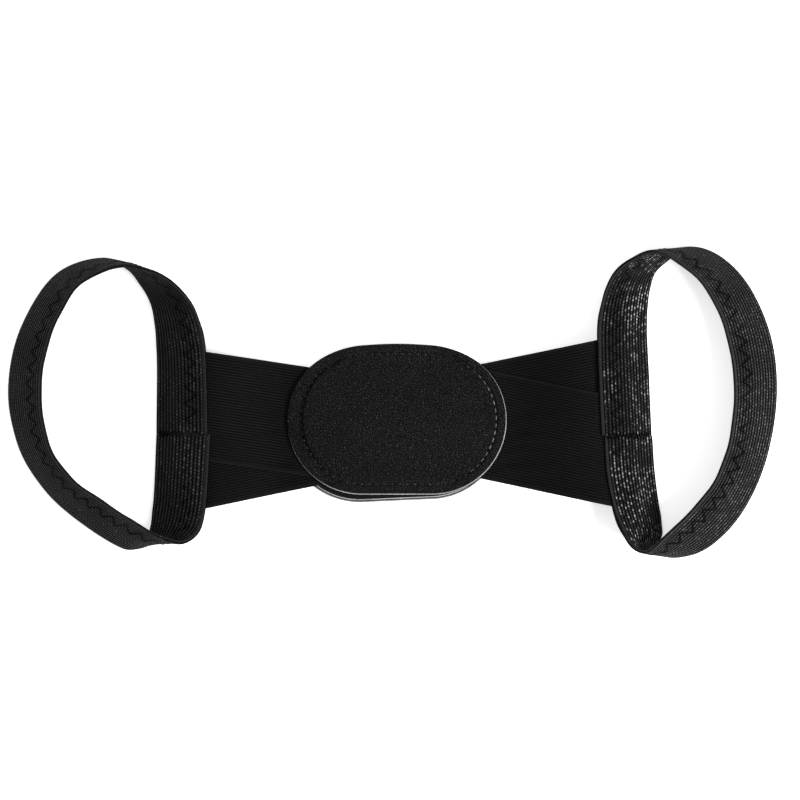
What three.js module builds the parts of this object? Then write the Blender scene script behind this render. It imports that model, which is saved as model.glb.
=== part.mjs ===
// A posture corrector, lying on a flat surface with the front of its back pad up.
//
// It is made of a pad of two stitched pieces, four wide elastic bands that leave the pad in pairs,
// and two arm loops. Each loop is one elastic strap folded in half along its length. The open edges of
// the fold face the pad and grip the ends of two bands; the folded edge lies on the surface.
//
// Millimetres, +Z up. X runs from the left loop to the right loop, and Y runs up the wearer's back.
// Each side is worked out in its own plan coordinates, both from the middle of the pad:
// `out` runs from the pad towards that side's loop, and `up` runs along +Y.

import * as THREE from 'three';

// Elastic and the small space that is left between sewn layers
const elasticThickness = 1.2;
const layerGap = 0.3;

// Pad: a padded front piece on a plain back piece of the same outline, which sits a little askew
const padLength = 159.5;
const padHeight = 108.5;
const padBackThickness = 2;
const padRimThickness = 1.8;
const padMiddleThickness = 3.7;
const padSeamInset = 7.3;
const padSeamDepth = 0.8;
const padSeamHalfWidth = 2;
const padRimFlat = 1.5;
const padRimRise = 8.5;
const padLiftRun = 12;
const padBackShiftOut = -1.5;
const padBackShiftUp = -4;
const padBackTurnDegrees = 2.5;
const cornerRound = 0.6;

// Wide bands: how wide they are, where they end under the pad, and how far they go into a loop's fold
const bandWidth = 78.6;
const bandInnerEnd = 34;
const bandTuck = 16;
const tuckClearance = 0.5;

// Each band's slope away from the pad and the height at which its middle line would cross the pad's middle
const leftUpperSlopeDegrees = 8.5;
const leftUpperCrossing = -10.1;
const leftLowerSlopeDegrees = -11.6;
const leftLowerCrossing = 5;
const rightUpperSlopeDegrees = 11.7;
const rightUpperCrossing = -11.4;
const rightLowerSlopeDegrees = -11.9;
const rightLowerCrossing = 11.1;

// Loop straps: the folded width, and the depth of the open edge away from the bands
const strapWidth = 40;
const openEdgeDepth = 5;
const mouthMargin = 8;
const mouthTaper = 15;
const nearPadShare = 0.25;
const seamGap = 0.5;

// Plan size of the ring that each loop's open edge makes, and where that ring starts and bottoms out
const leftRingReach = 120.3;
const leftRingHeight = 200.2;
const leftRingStart = 137.2;
const leftRingBottom = -87.7;
const rightRingReach = 99;
const rightRingHeight = 217.7;
const rightRingStart = 146;
const rightRingBottom = -94.3;

// How far the open edge of a loop steps at its seam, where the strap's two ends meet a little askew,
// and the stretch of the loop, as shares of its rows, in which the step grows
const leftSeamStep = 2;
const rightSeamStep = -1.5;
const seamStepFrom = 0.8;
const seamStepTo = 0.95;

// How finely the soft shapes are faceted
const loopStepLength = 8;
const mostStepsPerRow = 7;
const bandRowsAcross = 10;
const bandStepsFree = 9;
const padArcSteps = 14;
const padSideSteps = 6;
const linePasses = 4;

// Sections of a loop, from its seam up the side next to the pad and right round to the seam again.
// edgeOut and edgeUp place the open edge, as shares of the ring's reach and height.
// foldOut and foldUp go from the open edge to the folded edge in plan, as shares of the strap's width.
// crown is how far the strap bows between its two edges, as a share of its width.
const leftLoopRows = [
  { edgeOut: 0.000, edgeUp: 0.393, foldOut: 0.935, foldUp: 0.00, crown: 0.07 },
  { edgeOut: 0.016, edgeUp: 0.713, foldOut: 0.890, foldUp: -0.02, crown: 0.07 },
  { edgeOut: 0.048, edgeUp: 0.798, foldOut: 0.825, foldUp: -0.02, crown: 0.06 },
  { edgeOut: 0.099, edgeUp: 0.867, foldOut: 0.745, foldUp: 0.00, crown: 0.04 },
  { edgeOut: 0.201, edgeUp: 0.936, foldOut: 0.645, foldUp: 0.02, crown: 0.02 },
  { edgeOut: 0.341, edgeUp: 0.982, foldOut: 0.480, foldUp: 0.08, crown: 0.00 },
  { edgeOut: 0.484, edgeUp: 1.000, foldOut: 0.500, foldUp: 0.15, crown: -0.01 },
  { edgeOut: 0.726, edgeUp: 0.956, foldOut: 0.510, foldUp: 0.15, crown: -0.02 },
  { edgeOut: 0.811, edgeUp: 0.905, foldOut: 0.545, foldUp: 0.11, crown: -0.02 },
  { edgeOut: 0.889, edgeUp: 0.829, foldOut: 0.580, foldUp: 0.05, crown: -0.02 },
  { edgeOut: 0.953, edgeUp: 0.729, foldOut: 0.625, foldUp: 0.02, crown: -0.02 },
  { edgeOut: 0.992, edgeUp: 0.629, foldOut: 0.620, foldUp: 0.00, crown: -0.02 },
  { edgeOut: 1.000, edgeUp: 0.516, foldOut: 0.630, foldUp: -0.02, crown: -0.02 },
  { edgeOut: 0.984, edgeUp: 0.415, foldOut: 0.575, foldUp: -0.05, crown: -0.02 },
  { edgeOut: 0.940, edgeUp: 0.331, foldOut: 0.560, foldUp: -0.11, crown: -0.02 },
  { edgeOut: 0.877, edgeUp: 0.269, foldOut: 0.500, foldUp: -0.18, crown: -0.02 },
  { edgeOut: 0.774, edgeUp: 0.209, foldOut: 0.490, foldUp: -0.29, crown: -0.02 },
  { edgeOut: 0.496, edgeUp: 0.095, foldOut: 0.430, foldUp: -0.40, crown: -0.01 },
  { edgeOut: 0.367, edgeUp: 0.044, foldOut: 0.420, foldUp: -0.36, crown: 0.00 },
  { edgeOut: 0.260, edgeUp: 0.015, foldOut: 0.420, foldUp: -0.18, crown: 0.01 },
  { edgeOut: 0.151, edgeUp: 0.000, foldOut: 0.620, foldUp: 0.00, crown: 0.03 },
  { edgeOut: 0.074, edgeUp: 0.033, foldOut: 0.835, foldUp: 0.06, crown: 0.06 },
  { edgeOut: 0.036, edgeUp: 0.102, foldOut: 0.905, foldUp: 0.04, crown: 0.07 },
  { edgeOut: 0.000, edgeUp: 0.389, foldOut: 0.935, foldUp: 0.00, crown: 0.07 },
];
const rightLoopRows = [
  { edgeOut: 0.026, edgeUp: 0.385, foldOut: 0.920, foldUp: 0.00, crown: 0.07 },
  { edgeOut: 0.007, edgeUp: 0.565, foldOut: 0.925, foldUp: 0.00, crown: 0.07 },
  { edgeOut: 0.000, edgeUp: 0.756, foldOut: 0.900, foldUp: 0.02, crown: 0.07 },
  { edgeOut: 0.026, edgeUp: 0.827, foldOut: 0.855, foldUp: 0.02, crown: 0.06 },
  { edgeOut: 0.066, edgeUp: 0.886, foldOut: 0.800, foldUp: -0.02, crown: 0.05 },
  { edgeOut: 0.130, edgeUp: 0.933, foldOut: 0.725, foldUp: -0.02, crown: 0.03 },
  { edgeOut: 0.243, edgeUp: 0.973, foldOut: 0.655, foldUp: -0.03, crown: 0.01 },
  { edgeOut: 0.390, edgeUp: 1.000, foldOut: 0.620, foldUp: 0.07, crown: 0.00 },
  { edgeOut: 0.551, edgeUp: 0.973, foldOut: 0.635, foldUp: 0.20, crown: -0.01 },
  { edgeOut: 0.669, edgeUp: 0.933, foldOut: 0.690, foldUp: 0.21, crown: -0.02 },
  { edgeOut: 0.765, edgeUp: 0.890, foldOut: 0.725, foldUp: 0.18, crown: -0.02 },
  { edgeOut: 0.846, edgeUp: 0.836, foldOut: 0.745, foldUp: 0.14, crown: -0.02 },
  { edgeOut: 0.959, edgeUp: 0.689, foldOut: 0.815, foldUp: 0.05, crown: -0.02 },
  { edgeOut: 1.000, edgeUp: 0.502, foldOut: 0.790, foldUp: 0.00, crown: -0.02 },
  { edgeOut: 0.941, edgeUp: 0.328, foldOut: 0.745, foldUp: -0.14, crown: -0.02 },
  { edgeOut: 0.860, edgeUp: 0.241, foldOut: 0.690, foldUp: -0.31, crown: -0.02 },
  { edgeOut: 0.750, edgeUp: 0.167, foldOut: 0.635, foldUp: -0.43, crown: -0.02 },
  { edgeOut: 0.625, edgeUp: 0.110, foldOut: 0.600, foldUp: -0.46, crown: -0.02 },
  { edgeOut: 0.489, edgeUp: 0.048, foldOut: 0.610, foldUp: -0.32, crown: -0.01 },
  { edgeOut: 0.353, edgeUp: 0.000, foldOut: 0.475, foldUp: -0.11, crown: 0.00 },
  { edgeOut: 0.257, edgeUp: 0.012, foldOut: 0.490, foldUp: -0.05, crown: 0.02 },
  { edgeOut: 0.176, edgeUp: 0.060, foldOut: 0.745, foldUp: -0.01, crown: 0.04 },
  { edgeOut: 0.114, edgeUp: 0.117, foldOut: 0.870, foldUp: 0.00, crown: 0.06 },
  { edgeOut: 0.051, edgeUp: 0.247, foldOut: 0.925, foldUp: 0.00, crown: 0.07 },
  { edgeOut: 0.029, edgeUp: 0.381, foldOut: 0.925, foldUp: 0.00, crown: 0.07 },
];

// Places across a strap where its section has a corner, as shares of its width from the open edge,
// and the share from which its two layers lie close together
const innerLayerShares = [0.15, 0.32, 0.5, 0.68, 0.85];
const outerLayerShares = [0.85, 0.58, 0.3];
const spaceShares = [0, 1 / 3, 2 / 3, 1];
const thinFromShare = 0.85;
const foldTurnsDegrees = [55, 0, -55];

// Places across the pad's front where its section has a corner: from the end of the rim's rise out
// to the rim on the underside, and from the seam in to the middle on top
const rimRiseShares = [1, 0.75, 0.5, 0.2, 0];
const crownShares = [0.1, 0.21, 0.4, 0.65, 0.87];

// What follows from the sizes above
const padRadius = padHeight / 2;
const padHalfStraight = padLength / 2 - padRadius;
const layerStep = elasticThickness + layerGap;
const stackMiddle = padBackThickness + layerGap + elasticThickness + layerGap / 2;
const frontUnderside = stackMiddle + layerStep + layerGap / 2;
const rimUnderside = padBackThickness + layerGap;
const mouthHalf = elasticThickness + layerGap / 2 + tuckClearance;
const foldHalf = elasticThickness + layerGap / 2;
const tuckShare = bandTuck / strapWidth;
const mouthEndShare = (bandTuck + 2 * tuckClearance) / strapWidth;
const openEdgeShare = openEdgeDepth / strapWidth;

const radians = THREE.MathUtils.degToRad;
const mix = THREE.MathUtils.lerp;
const smooth = THREE.MathUtils.smoothstep;

// Solids

// Splits a flat outline into triangles that all turn the way the outline does.
function capFaces(outline) {
  const turn = Math.sign(THREE.ShapeUtils.area(outline));
  return THREE.ShapeUtils.triangulateShape(outline, []).map(([a, b, c]) => {
    const sameTurn = Math.sign(THREE.ShapeUtils.area([outline[a], outline[b], outline[c]])) === turn;
    return sameTurn ? [a, b, c] : [a, c, b];
  });
}

// Splits the end of a thin sheet, whose ring runs along one face and back along the other.
function sheetEndFaces(count) {
  return Array.from({ length: count / 2 - 1 }, (_, i) => {
    const opposite = count - 1 - i;
    return [[i, i + 1, opposite - 1], [i, opposite - 1, opposite]];
  }).flat();
}

// Joins a row of rings, each with as many points, into one closed body with a cap at each end.
// Each cap is a list of triangles that turn the way the ring does.
function loftRings(rings, firstCap, lastCap) {
  const count = rings[0].length;
  const faces = [];
  for (let r = 0; r + 1 < rings.length; r += 1) {
    for (let i = 0; i < count; i += 1) {
      const a = r * count + i;
      const b = r * count + ((i + 1) % count);
      faces.push([a, b, b + count], [a, b + count, a + count]);
    }
  }
  const last = (rings.length - 1) * count;
  firstCap.forEach(([a, b, c]) => faces.push([a, c, b]));
  lastCap.forEach(([a, b, c]) => faces.push([last + a, last + b, last + c]));

  const points = rings.flat();
  const volume = faces.reduce(
    (sum, [a, b, c]) => sum + points[a].dot(points[b].clone().cross(points[c])),
    0,
  );
  const outward = volume > 0 ? faces : faces.map(([a, b, c]) => [a, c, b]);
  const geometry = new THREE.BufferGeometry();
  geometry.setAttribute('position', new THREE.Float32BufferAttribute(
    points.flatMap((p) => [p.x, p.y, p.z]),
    3,
  ));
  geometry.setIndex(outward.flat());
  geometry.computeVertexNormals();
  return geometry;
}

// Wide bands

const leftBands = [
  { name: 'band_left_lower', layer: -1, slope: leftLowerSlopeDegrees, crossing: leftLowerCrossing },
  { name: 'band_left_upper', layer: 1, slope: leftUpperSlopeDegrees, crossing: leftUpperCrossing },
];
const rightBands = [
  { name: 'band_right_upper', layer: -1, slope: rightUpperSlopeDegrees, crossing: rightUpperCrossing },
  { name: 'band_right_lower', layer: 1, slope: rightLowerSlopeDegrees, crossing: rightLowerCrossing },
];

// Height of a line along a band, which lies `across` half-widths from the band's middle line.
function bandLineUp(band, across, out) {
  const slope = radians(band.slope);
  return band.crossing + out * Math.tan(slope) + across * bandWidth / 2 / Math.cos(slope);
}

// Lowest and highest place that the bands of one side reach inside a loop's mouth.
function mouthSpan(bands, ringStart) {
  const outs = [ringStart, ringStart + bandTuck];
  const heights = bands.flatMap((band) => outs.flatMap((out) => (
    [-1, 1].map((across) => bandLineUp(band, across, out))
  )));
  return [Math.min(...heights) - mouthMargin, Math.max(...heights) + mouthMargin];
}

// Loops

// A point of the strap's middle surface and its normal there. The strap's section is a shallow arc
// from the open edge (share 0) to the folded edge (share 1), bowed towards the inside of the loop.
function strapSurface(station, share) {
  const point = station.edge.clone().lerp(station.fold, share);
  point.addScaledVector(station.inward, 4 * station.crown * share * (1 - share));
  const lean = 4 * station.crown * (1 - 2 * share) / strapWidth;
  const normal = station.inward.clone().addScaledVector(station.across, -lean).normalize();
  return { point, normal };
}

// Half of the space between the strap's two layers. It opens to hold two bands at the mouth.
function halfSpace(station, share) {
  const open = station.mouth * (1 - smooth(share, mouthEndShare, thinFromShare));
  return mix(layerGap / 2, mouthHalf, open);
}

// The strap's section as a U: over the inner layer, round the fold, back along the outer layer,
// and into the space between the two layers.
function strapSection(station) {
  const edgeShare = station.seamShift / strapWidth;
  const foldCentre = 1 - foldHalf / strapWidth;
  const depth = mix(openEdgeShare, mouthEndShare, station.mouth);
  const corners = [];
  [edgeShare, ...innerLayerShares].forEach((share) => {
    corners.push([share, halfSpace(station, share) + elasticThickness]);
  });
  foldTurnsDegrees.forEach((turn) => {
    const along = Math.cos(radians(turn)) * foldHalf / strapWidth;
    corners.push([foldCentre + along, Math.sin(radians(turn)) * foldHalf]);
  });
  [...outerLayerShares, edgeShare].forEach((share) => {
    corners.push([share, -halfSpace(station, share) - elasticThickness]);
  });
  const inside = spaceShares.map((share) => mix(edgeShare, depth, share));
  inside.forEach((share) => corners.push([share, -halfSpace(station, share)]));
  inside.reverse().forEach((share) => corners.push([share, halfSpace(station, share)]));
  const ring = corners.map(([share, offset]) => {
    const { point, normal } = strapSurface(station, share);
    return point.addScaledVector(normal, offset);
  });
  const outline = corners.map(([share, offset]) => new THREE.Vector2(share * strapWidth, offset));
  return { ring, outline };
}

// Places round a loop, as shares of its rows. A pair of rows that lie far apart gets more steps.
function rowSteps(edges, folds, rowCount) {
  const spans = rowCount - 1;
  const shares = [0];
  for (let row = 0; row < spans; row += 1) {
    const from = row / spans;
    const to = (row + 1) / spans;
    const edgeRun = edges.getPoint(from).distanceTo(edges.getPoint(to));
    const foldStart = edges.getPoint(from).add(folds.getPoint(from));
    const foldRun = foldStart.distanceTo(edges.getPoint(to).add(folds.getPoint(to)));
    const wanted = Math.round(Math.max(edgeRun, foldRun) / loopStepLength);
    const steps = THREE.MathUtils.clamp(wanted, 2, mostStepsPerRow);
    for (let step = 1; step <= steps; step += 1) {
      shares.push((row + step / steps) / spans);
    }
  }
  return shares;
}

// Stations all round one loop, smoothed through its rows. The folded edge lies on the surface, and
// the open edge stands above it by what the strap's fixed width leaves over its plan offset.
function loopStations(rows, ring, bands) {
  const edges = new THREE.CatmullRomCurve3(rows.map((row) => new THREE.Vector3(
    ring.start + row.edgeOut * ring.reach,
    ring.bottom + row.edgeUp * ring.height,
    0,
  )));
  const folds = new THREE.CatmullRomCurve3(rows.map((row) => new THREE.Vector3(
    row.foldOut * strapWidth,
    row.foldUp * strapWidth,
    row.crown * strapWidth,
  )));
  const [mouthBottom, mouthTop] = mouthSpan(bands, ring.start);
  const middleUp = (mouthBottom + mouthTop) / 2;
  const mouthReach = (mouthTop - mouthBottom) / 2;
  return rowSteps(edges, folds, rows.length).map((share) => {
    const edge = edges.getPoint(share);
    edge.y += share === 0 ? seamGap / 2 : 0;
    edge.y -= share === 1 ? seamGap / 2 : 0;
    const offset = folds.getPoint(share);
    const plan = Math.hypot(offset.x, offset.y);
    const drop = Math.sqrt(strapWidth ** 2 - plan ** 2);
    const forward = edges.getTangent(share);
    const across = new THREE.Vector3(offset.x, offset.y, -drop).normalize();
    const inward = across.clone().cross(forward).normalize();
    edge.z = drop;
    const fold = edge.clone().addScaledVector(across, strapWidth);
    const nearPad = edge.x < ring.start + ring.reach * nearPadShare;
    const fromMouth = Math.abs(edge.y - middleUp) - mouthReach;
    const station = {
      edge,
      fold,
      across,
      inward,
      crown: offset.z,
      mouth: nearPad ? 1 - smooth(fromMouth, 0, mouthTaper) : 0,
      seamShift: -ring.seamStep * smooth(share, seamStepFrom, seamStepTo),
    };
    const lowest = Math.min(...strapSection(station).ring.map((p) => p.z));
    station.edge.z -= lowest;
    station.fold.z -= lowest;
    return station;
  });
}

function loopGeometry(stations, place) {
  const sections = stations.map(strapSection);
  const rings = sections.map(({ ring }) => ring.map(place));
  return loftRings(rings, capFaces(sections[0].outline), capFaces(sections.at(-1).outline));
}

// The strap's middle surface at a share of its width and a height beside the pad, between the two
// stations that hold that height.
function strapAtHeight(stations, share, up) {
  const half = Math.floor(stations.length / 2);
  const heights = stations.map((station) => mix(station.edge.y, station.fold.y, share));
  const rising = heights.findIndex((height, i) => i < half && height <= up && heights[i + 1] > up);
  const falling = heights.findIndex((height, i) => i > half && height <= up && heights[i + 1] > up);
  const i = rising >= 0 ? rising : falling;
  const first = i >= 0 ? i : 0;
  const second = i >= 0 ? i + 1 : stations.length - 1;
  const t = (up - heights[first]) / (heights[second] - heights[first]);
  const a = strapSurface(stations[first], share);
  const b = strapSurface(stations[second], share);
  return { point: a.point.lerp(b.point, t), normal: a.normal.lerp(b.normal, t).normalize() };
}

// Places along a band: flat under the pad, a smooth rise to the loop's open edge, and the tucked end.
const bandPlaces = [
  { stretch: 'hidden', share: 0 },
  { stretch: 'hidden', share: 0.5 },
  ...Array.from({ length: bandStepsFree + 1 }, (_, i) => (
    { stretch: 'free', share: i / bandStepsFree }
  )),
  ...[0.25, 0.5, 0.75, 1].map((share) => ({ stretch: 'tucked', share })),
];

// The middle surface of a side's stack of bands between the pad and the loop: flat up to the end of
// the pad, then a cubic rise that meets the strap's middle surface at the open edge with its slope.
function stackSurface(stations, out, up) {
  const padEnd = padLength / 2;
  const strap = strapAtHeight(stations, 0, up);
  const run = strap.point.x - padEnd;
  const s = Math.max(0, (out - padEnd) / run);
  const rise = strap.point.z - stackMiddle;
  const endSlope = -strap.normal.x / strap.normal.z;
  const z = stackMiddle + rise * (3 * s ** 2 - 2 * s ** 3) + endSlope * run * (s ** 3 - s ** 2);
  const slope = rise * (6 * s - 6 * s ** 2) / run + endSlope * (3 * s ** 2 - 2 * s);
  return {
    point: new THREE.Vector3(out, up, z),
    normal: new THREE.Vector3(-slope, 0, 1).normalize(),
  };
}

// The middle surface of a side's stack of bands at one place along one line of a band.
function bandSurface(band, stations, across, { stretch, share }) {
  const padEnd = padLength / 2;
  const inStrap = stretch === 'tucked' ? share * tuckShare : 0;
  let strap = strapAtHeight(stations, inStrap, bandLineUp(band, across, stations[0].edge.x));
  for (let pass = 0; pass < linePasses; pass += 1) {
    strap = strapAtHeight(stations, inStrap, bandLineUp(band, across, strap.point.x));
  }
  if (stretch === 'tucked') {
    return strap;
  }
  const out = stretch === 'hidden'
    ? mix(bandInnerEnd, padEnd, share)
    : mix(padEnd, strap.point.x, share);
  return stackSurface(stations, out, bandLineUp(band, across, out));
}

function bandGeometry(band, stations, place) {
  const lines = Array.from({ length: bandRowsAcross + 1 }, (_, i) => 2 * i / bandRowsAcross - 1);
  const level = band.layer * layerStep / 2;
  const face = (where, side) => lines.map((across) => {
    const { point, normal } = bandSurface(band, stations, across, where);
    return point.addScaledVector(normal, level + side * elasticThickness / 2);
  });
  const rings = bandPlaces.map((where) => (
    [...face(where, 1), ...face(where, -1).reverse()].map(place)
  ));
  const endFaces = sheetEndFaces(rings[0].length);
  return loftRings(rings, endFaces, endFaces);
}

// Pad

// The pad's outline moved in by `inset`: two half circles joined by straight sides.
function padOutline(inset) {
  const radius = padRadius - inset;
  const arc = (middle, startDegrees) => Array.from({ length: padArcSteps + 1 }, (_, i) => {
    const angle = radians(startDegrees + 180 * i / padArcSteps);
    return new THREE.Vector2(middle + radius * Math.cos(angle), radius * Math.sin(angle));
  });
  const side = (sign) => Array.from({ length: padSideSteps - 1 }, (_, i) => {
    const x = mix(padHalfStraight, -padHalfStraight, (i + 1) / padSideSteps);
    return new THREE.Vector2(sign * x, sign * radius);
  });
  return [...arc(padHalfStraight, -90), ...side(1), ...arc(-padHalfStraight, 90), ...side(-1)];
}

// Height of the front piece's underside. It clears the bands, and comes down to the back piece along
// the top and bottom rim, where no band passes under it.
function frontUndersideAt(point, inset) {
  const overBands = smooth(Math.abs(point.x), bandInnerEnd, bandInnerEnd + padLiftRun);
  const inside = smooth(inset, padRimFlat, padRimRise);
  return mix(rimUnderside, frontUnderside, Math.max(overBands, inside));
}

// Thickness of the front piece: a rounded rim, a groove along the seam and a crowned middle.
function frontThicknessAt(inset) {
  const rim = padRimThickness - cornerRound * (1 - smooth(inset, 0, 2 * cornerRound));
  const crown = smooth(inset, padSeamInset, padRadius);
  const swell = smooth(inset, padSeamInset, 2 * padSeamInset);
  const middle = (padMiddleThickness - padRimThickness) * mix(swell, 1, crown);
  const fromSeam = Math.abs(inset - padSeamInset) / padSeamHalfWidth;
  const groove = padSeamDepth * Math.max(0, 1 - fromSeam);
  return rim + middle - groove;
}

function padFrontGeometry() {
  const level = (inset, height) => padOutline(inset).map((p) => (
    new THREE.Vector3(p.x, p.y, height(p, inset))
  ));
  const top = (p, inset) => frontUndersideAt(p, inset) + frontThicknessAt(inset);
  const undersideInsets = [
    ...rimRiseShares.map((share) => mix(padRimFlat, padRimRise, share)),
    cornerRound,
  ];
  const topInsets = [
    0,
    cornerRound,
    2 * cornerRound,
    (2 * cornerRound + padSeamInset - padSeamHalfWidth) / 2,
    padSeamInset - padSeamHalfWidth,
    padSeamInset,
    padSeamInset + padSeamHalfWidth,
    ...crownShares.map((share) => mix(padSeamInset, padRadius, share)),
  ];
  const rings = [
    ...undersideInsets.map((inset) => level(inset, frontUndersideAt)),
    level(0, (p) => frontUndersideAt(p, 0) + cornerRound / 2),
    ...topInsets.map((inset) => level(inset, top)),
  ];
  return loftRings(rings, capFaces(padOutline(padRimRise)), capFaces(padOutline(topInsets.at(-1))));
}

function padBackGeometry() {
  const levels = [
    [cornerRound, 0],
    [0, cornerRound],
    [0, padBackThickness - cornerRound],
    [cornerRound, padBackThickness],
  ];
  const rings = levels.map(([inset, z]) => padOutline(inset).map((p) => new THREE.Vector3(p.x, p.y, z)));
  const faces = capFaces(padOutline(cornerRound));
  return loftRings(rings, faces, faces);
}

// The finish of each piece
const elastic = () => new THREE.MeshStandardMaterial({ color: 0x141416, roughness: 0.85, metalness: 0 });
const leatherette = () => new THREE.MeshStandardMaterial({ color: 0x18181a, roughness: 0.5, metalness: 0 });

function piece(name, geometry, material) {
  const mesh = new THREE.Mesh(geometry, material);
  mesh.name = name;
  return mesh;
}

// Assembly, about the middle of the pad
const corrector = new THREE.Group();

const front = piece('pad_front', padFrontGeometry(), leatherette());
const back = piece('pad_back', padBackGeometry(), leatherette());
back.position.set(padBackShiftOut, padBackShiftUp, 0);
back.rotation.z = radians(padBackTurnDegrees);
corrector.add(front, back);

const sides = [
  {
    name: 'loop_left',
    mirror: -1,
    bands: leftBands,
    rows: leftLoopRows,
    ring: {
      reach: leftRingReach,
      height: leftRingHeight,
      start: leftRingStart,
      bottom: leftRingBottom,
      seamStep: leftSeamStep,
    },
  },
  {
    name: 'loop_right',
    mirror: 1,
    bands: rightBands,
    rows: rightLoopRows,
    ring: {
      reach: rightRingReach,
      height: rightRingHeight,
      start: rightRingStart,
      bottom: rightRingBottom,
      seamStep: rightSeamStep,
    },
  },
];
sides.forEach(({ name, mirror, bands, rows, ring }) => {
  const place = (point) => new THREE.Vector3(mirror * point.x, point.y, point.z);
  const stations = loopStations(rows, ring, bands);
  corrector.add(piece(name, loopGeometry(stations, place), elastic()));
  bands.forEach((band) => {
    corrector.add(piece(band.name, bandGeometry(band, stations, place), elastic()));
  });
});

// The origin is the middle of the whole thing, on the surface that it lies on.
const box = new THREE.Box3().setFromObject(corrector);
const middle = box.getCenter(new THREE.Vector3());
corrector.position.set(-middle.x, -middle.y, -box.min.z);

export default corrector;
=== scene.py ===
# %% [markdown]
# # A posture corrector of black elastic
# The object lies flat with the front of its back pad up: a stitched oval pad, four wide elastic bands that
# leave it in pairs, and two arm loops, each a ribbed strap folded in half along its length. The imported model
# is loaded first as a fixed frame. It says where each piece lies, and the finer surfaces below are worked
# out from the same sizes, so nothing has to be fitted by eye.

# %% The frame
import bmesh
import bpy
import numpy as np
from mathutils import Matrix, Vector


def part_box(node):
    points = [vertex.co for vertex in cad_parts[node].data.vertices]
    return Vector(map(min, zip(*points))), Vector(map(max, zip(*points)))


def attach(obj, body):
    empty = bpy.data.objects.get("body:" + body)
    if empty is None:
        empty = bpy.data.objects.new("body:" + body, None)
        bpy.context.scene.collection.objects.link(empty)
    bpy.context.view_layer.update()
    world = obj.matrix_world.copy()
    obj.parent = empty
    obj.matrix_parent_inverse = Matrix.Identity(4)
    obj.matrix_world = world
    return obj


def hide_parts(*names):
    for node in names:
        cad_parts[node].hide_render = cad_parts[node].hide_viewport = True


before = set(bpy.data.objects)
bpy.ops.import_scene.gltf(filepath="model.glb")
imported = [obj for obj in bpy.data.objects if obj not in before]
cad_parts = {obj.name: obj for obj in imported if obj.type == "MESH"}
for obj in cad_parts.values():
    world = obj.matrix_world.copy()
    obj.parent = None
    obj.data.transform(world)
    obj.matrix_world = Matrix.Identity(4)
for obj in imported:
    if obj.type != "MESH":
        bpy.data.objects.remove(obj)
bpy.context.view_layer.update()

MM = 0.001
print("nodes:", sorted(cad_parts))

# %% [markdown]
# ## The camera
# The photograph looks straight down from far away, so its plan shows no lean. A long lens a few metres up
# does the same. Its width of view is the picture's 800 pixels at 0.728 mm each.

# %% Camera
PICTURE_WIDTH = 800
PIXEL = 0.728
VIEW_WIDTH = PICTURE_WIDTH * PIXEL * MM
CAMERA_HEIGHT = 5.0
CAMERA_PLAN = (5.5 * MM, 1.1 * MM)

camera_data = bpy.data.cameras.new("camera")
camera_data.sensor_width = 36.0
camera_data.lens = camera_data.sensor_width * CAMERA_HEIGHT / VIEW_WIDTH
camera = bpy.data.objects.new("camera", camera_data)
camera.location = (*CAMERA_PLAN, CAMERA_HEIGHT)
bpy.context.scene.collection.objects.link(camera)
bpy.context.scene.camera = camera
print("lens", round(camera_data.lens, 1), "mm")

# %% [markdown]
# ## Helpers for surfaces
# Every new piece is a grid of points worked out by numpy, in millimetres, with a row for each step along
# the piece and a column for each step round its section. One function turns such a grid into a closed
# mesh in metres. Where a pattern has to follow the cloth, the grid carries its own coordinates: the rib
# that a point lies on, and the distance along it in millimetres.

# %% Grid to mesh


def grid_faces(rows, columns):
    """Quads of a grid whose columns close on themselves: corner (r, c) joins (r, c + 1) and row r + 1."""
    r, c = np.meshgrid(np.arange(rows - 1), np.arange(columns), indexing="ij")
    nearer = r * columns + c
    beside = r * columns + (c + 1) % columns
    return np.stack([nearer, beside, beside + columns, nearer + columns], axis=-1).reshape(-1, 4)


def make_mesh(name, points, quads, caps=(), uv=None):
    """Mesh of quads, with extra faces as caps, from points in millimetres. uv holds a pair for each point."""
    mesh = bpy.data.meshes.new(name)
    faces = quads.tolist() + [list(cap) for cap in caps]
    mesh.from_pydata((points.reshape(-1, 3) * MM).tolist(), [], faces)
    if uv is not None:
        corner = np.empty(len(mesh.loops), np.int32)
        mesh.loops.foreach_get("vertex_index", corner)
        layer = mesh.uv_layers.new(name="cloth")
        layer.data.foreach_set("uv", uv.reshape(-1, 2)[corner].astype(np.float32).ravel())
    mesh.validate()
    mesh.update()
    piece = bpy.data.objects.new(name, mesh)
    bpy.context.scene.collection.objects.link(piece)
    turn_outwards(piece)
    return piece


def turn_outwards(piece):
    """Flips every face if the signed volume, a sixth of the sum of a . (b x c), is negative, and shades
    the faces smooth."""
    mesh = piece.data
    mesh.calc_loop_triangles()
    corners = np.empty(len(mesh.loop_triangles) * 3, np.int32)
    mesh.loop_triangles.foreach_get("vertices", corners)
    points = np.empty(len(mesh.vertices) * 3)
    mesh.vertices.foreach_get("co", points)
    a, b, c = points.reshape(-1, 3)[corners.reshape(-1, 3)].transpose(1, 0, 2)
    if np.einsum("ij,ij->i", a, np.cross(b, c)).sum() < 0:
        mesh.flip_normals()
    mesh.polygons.foreach_set("use_smooth", np.ones(len(mesh.polygons), bool))


print("a tube of 3 rings of 4 points has", len(grid_faces(3, 4)), "faces")

# %% Directions and easing


def unit(vectors):
    """Vectors scaled to length one."""
    return vectors / np.linalg.norm(vectors, axis=-1, keepdims=True)


def ease(value, start, end):
    """0 before start, 1 after end, and 3s^2 - 2s^3 between them."""
    s = np.clip((value - start) / (end - start), 0.0, 1.0)
    return s * s * (3.0 - 2.0 * s)


print("half way, ease gives", ease(0.5, 0.0, 1.0))

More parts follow.
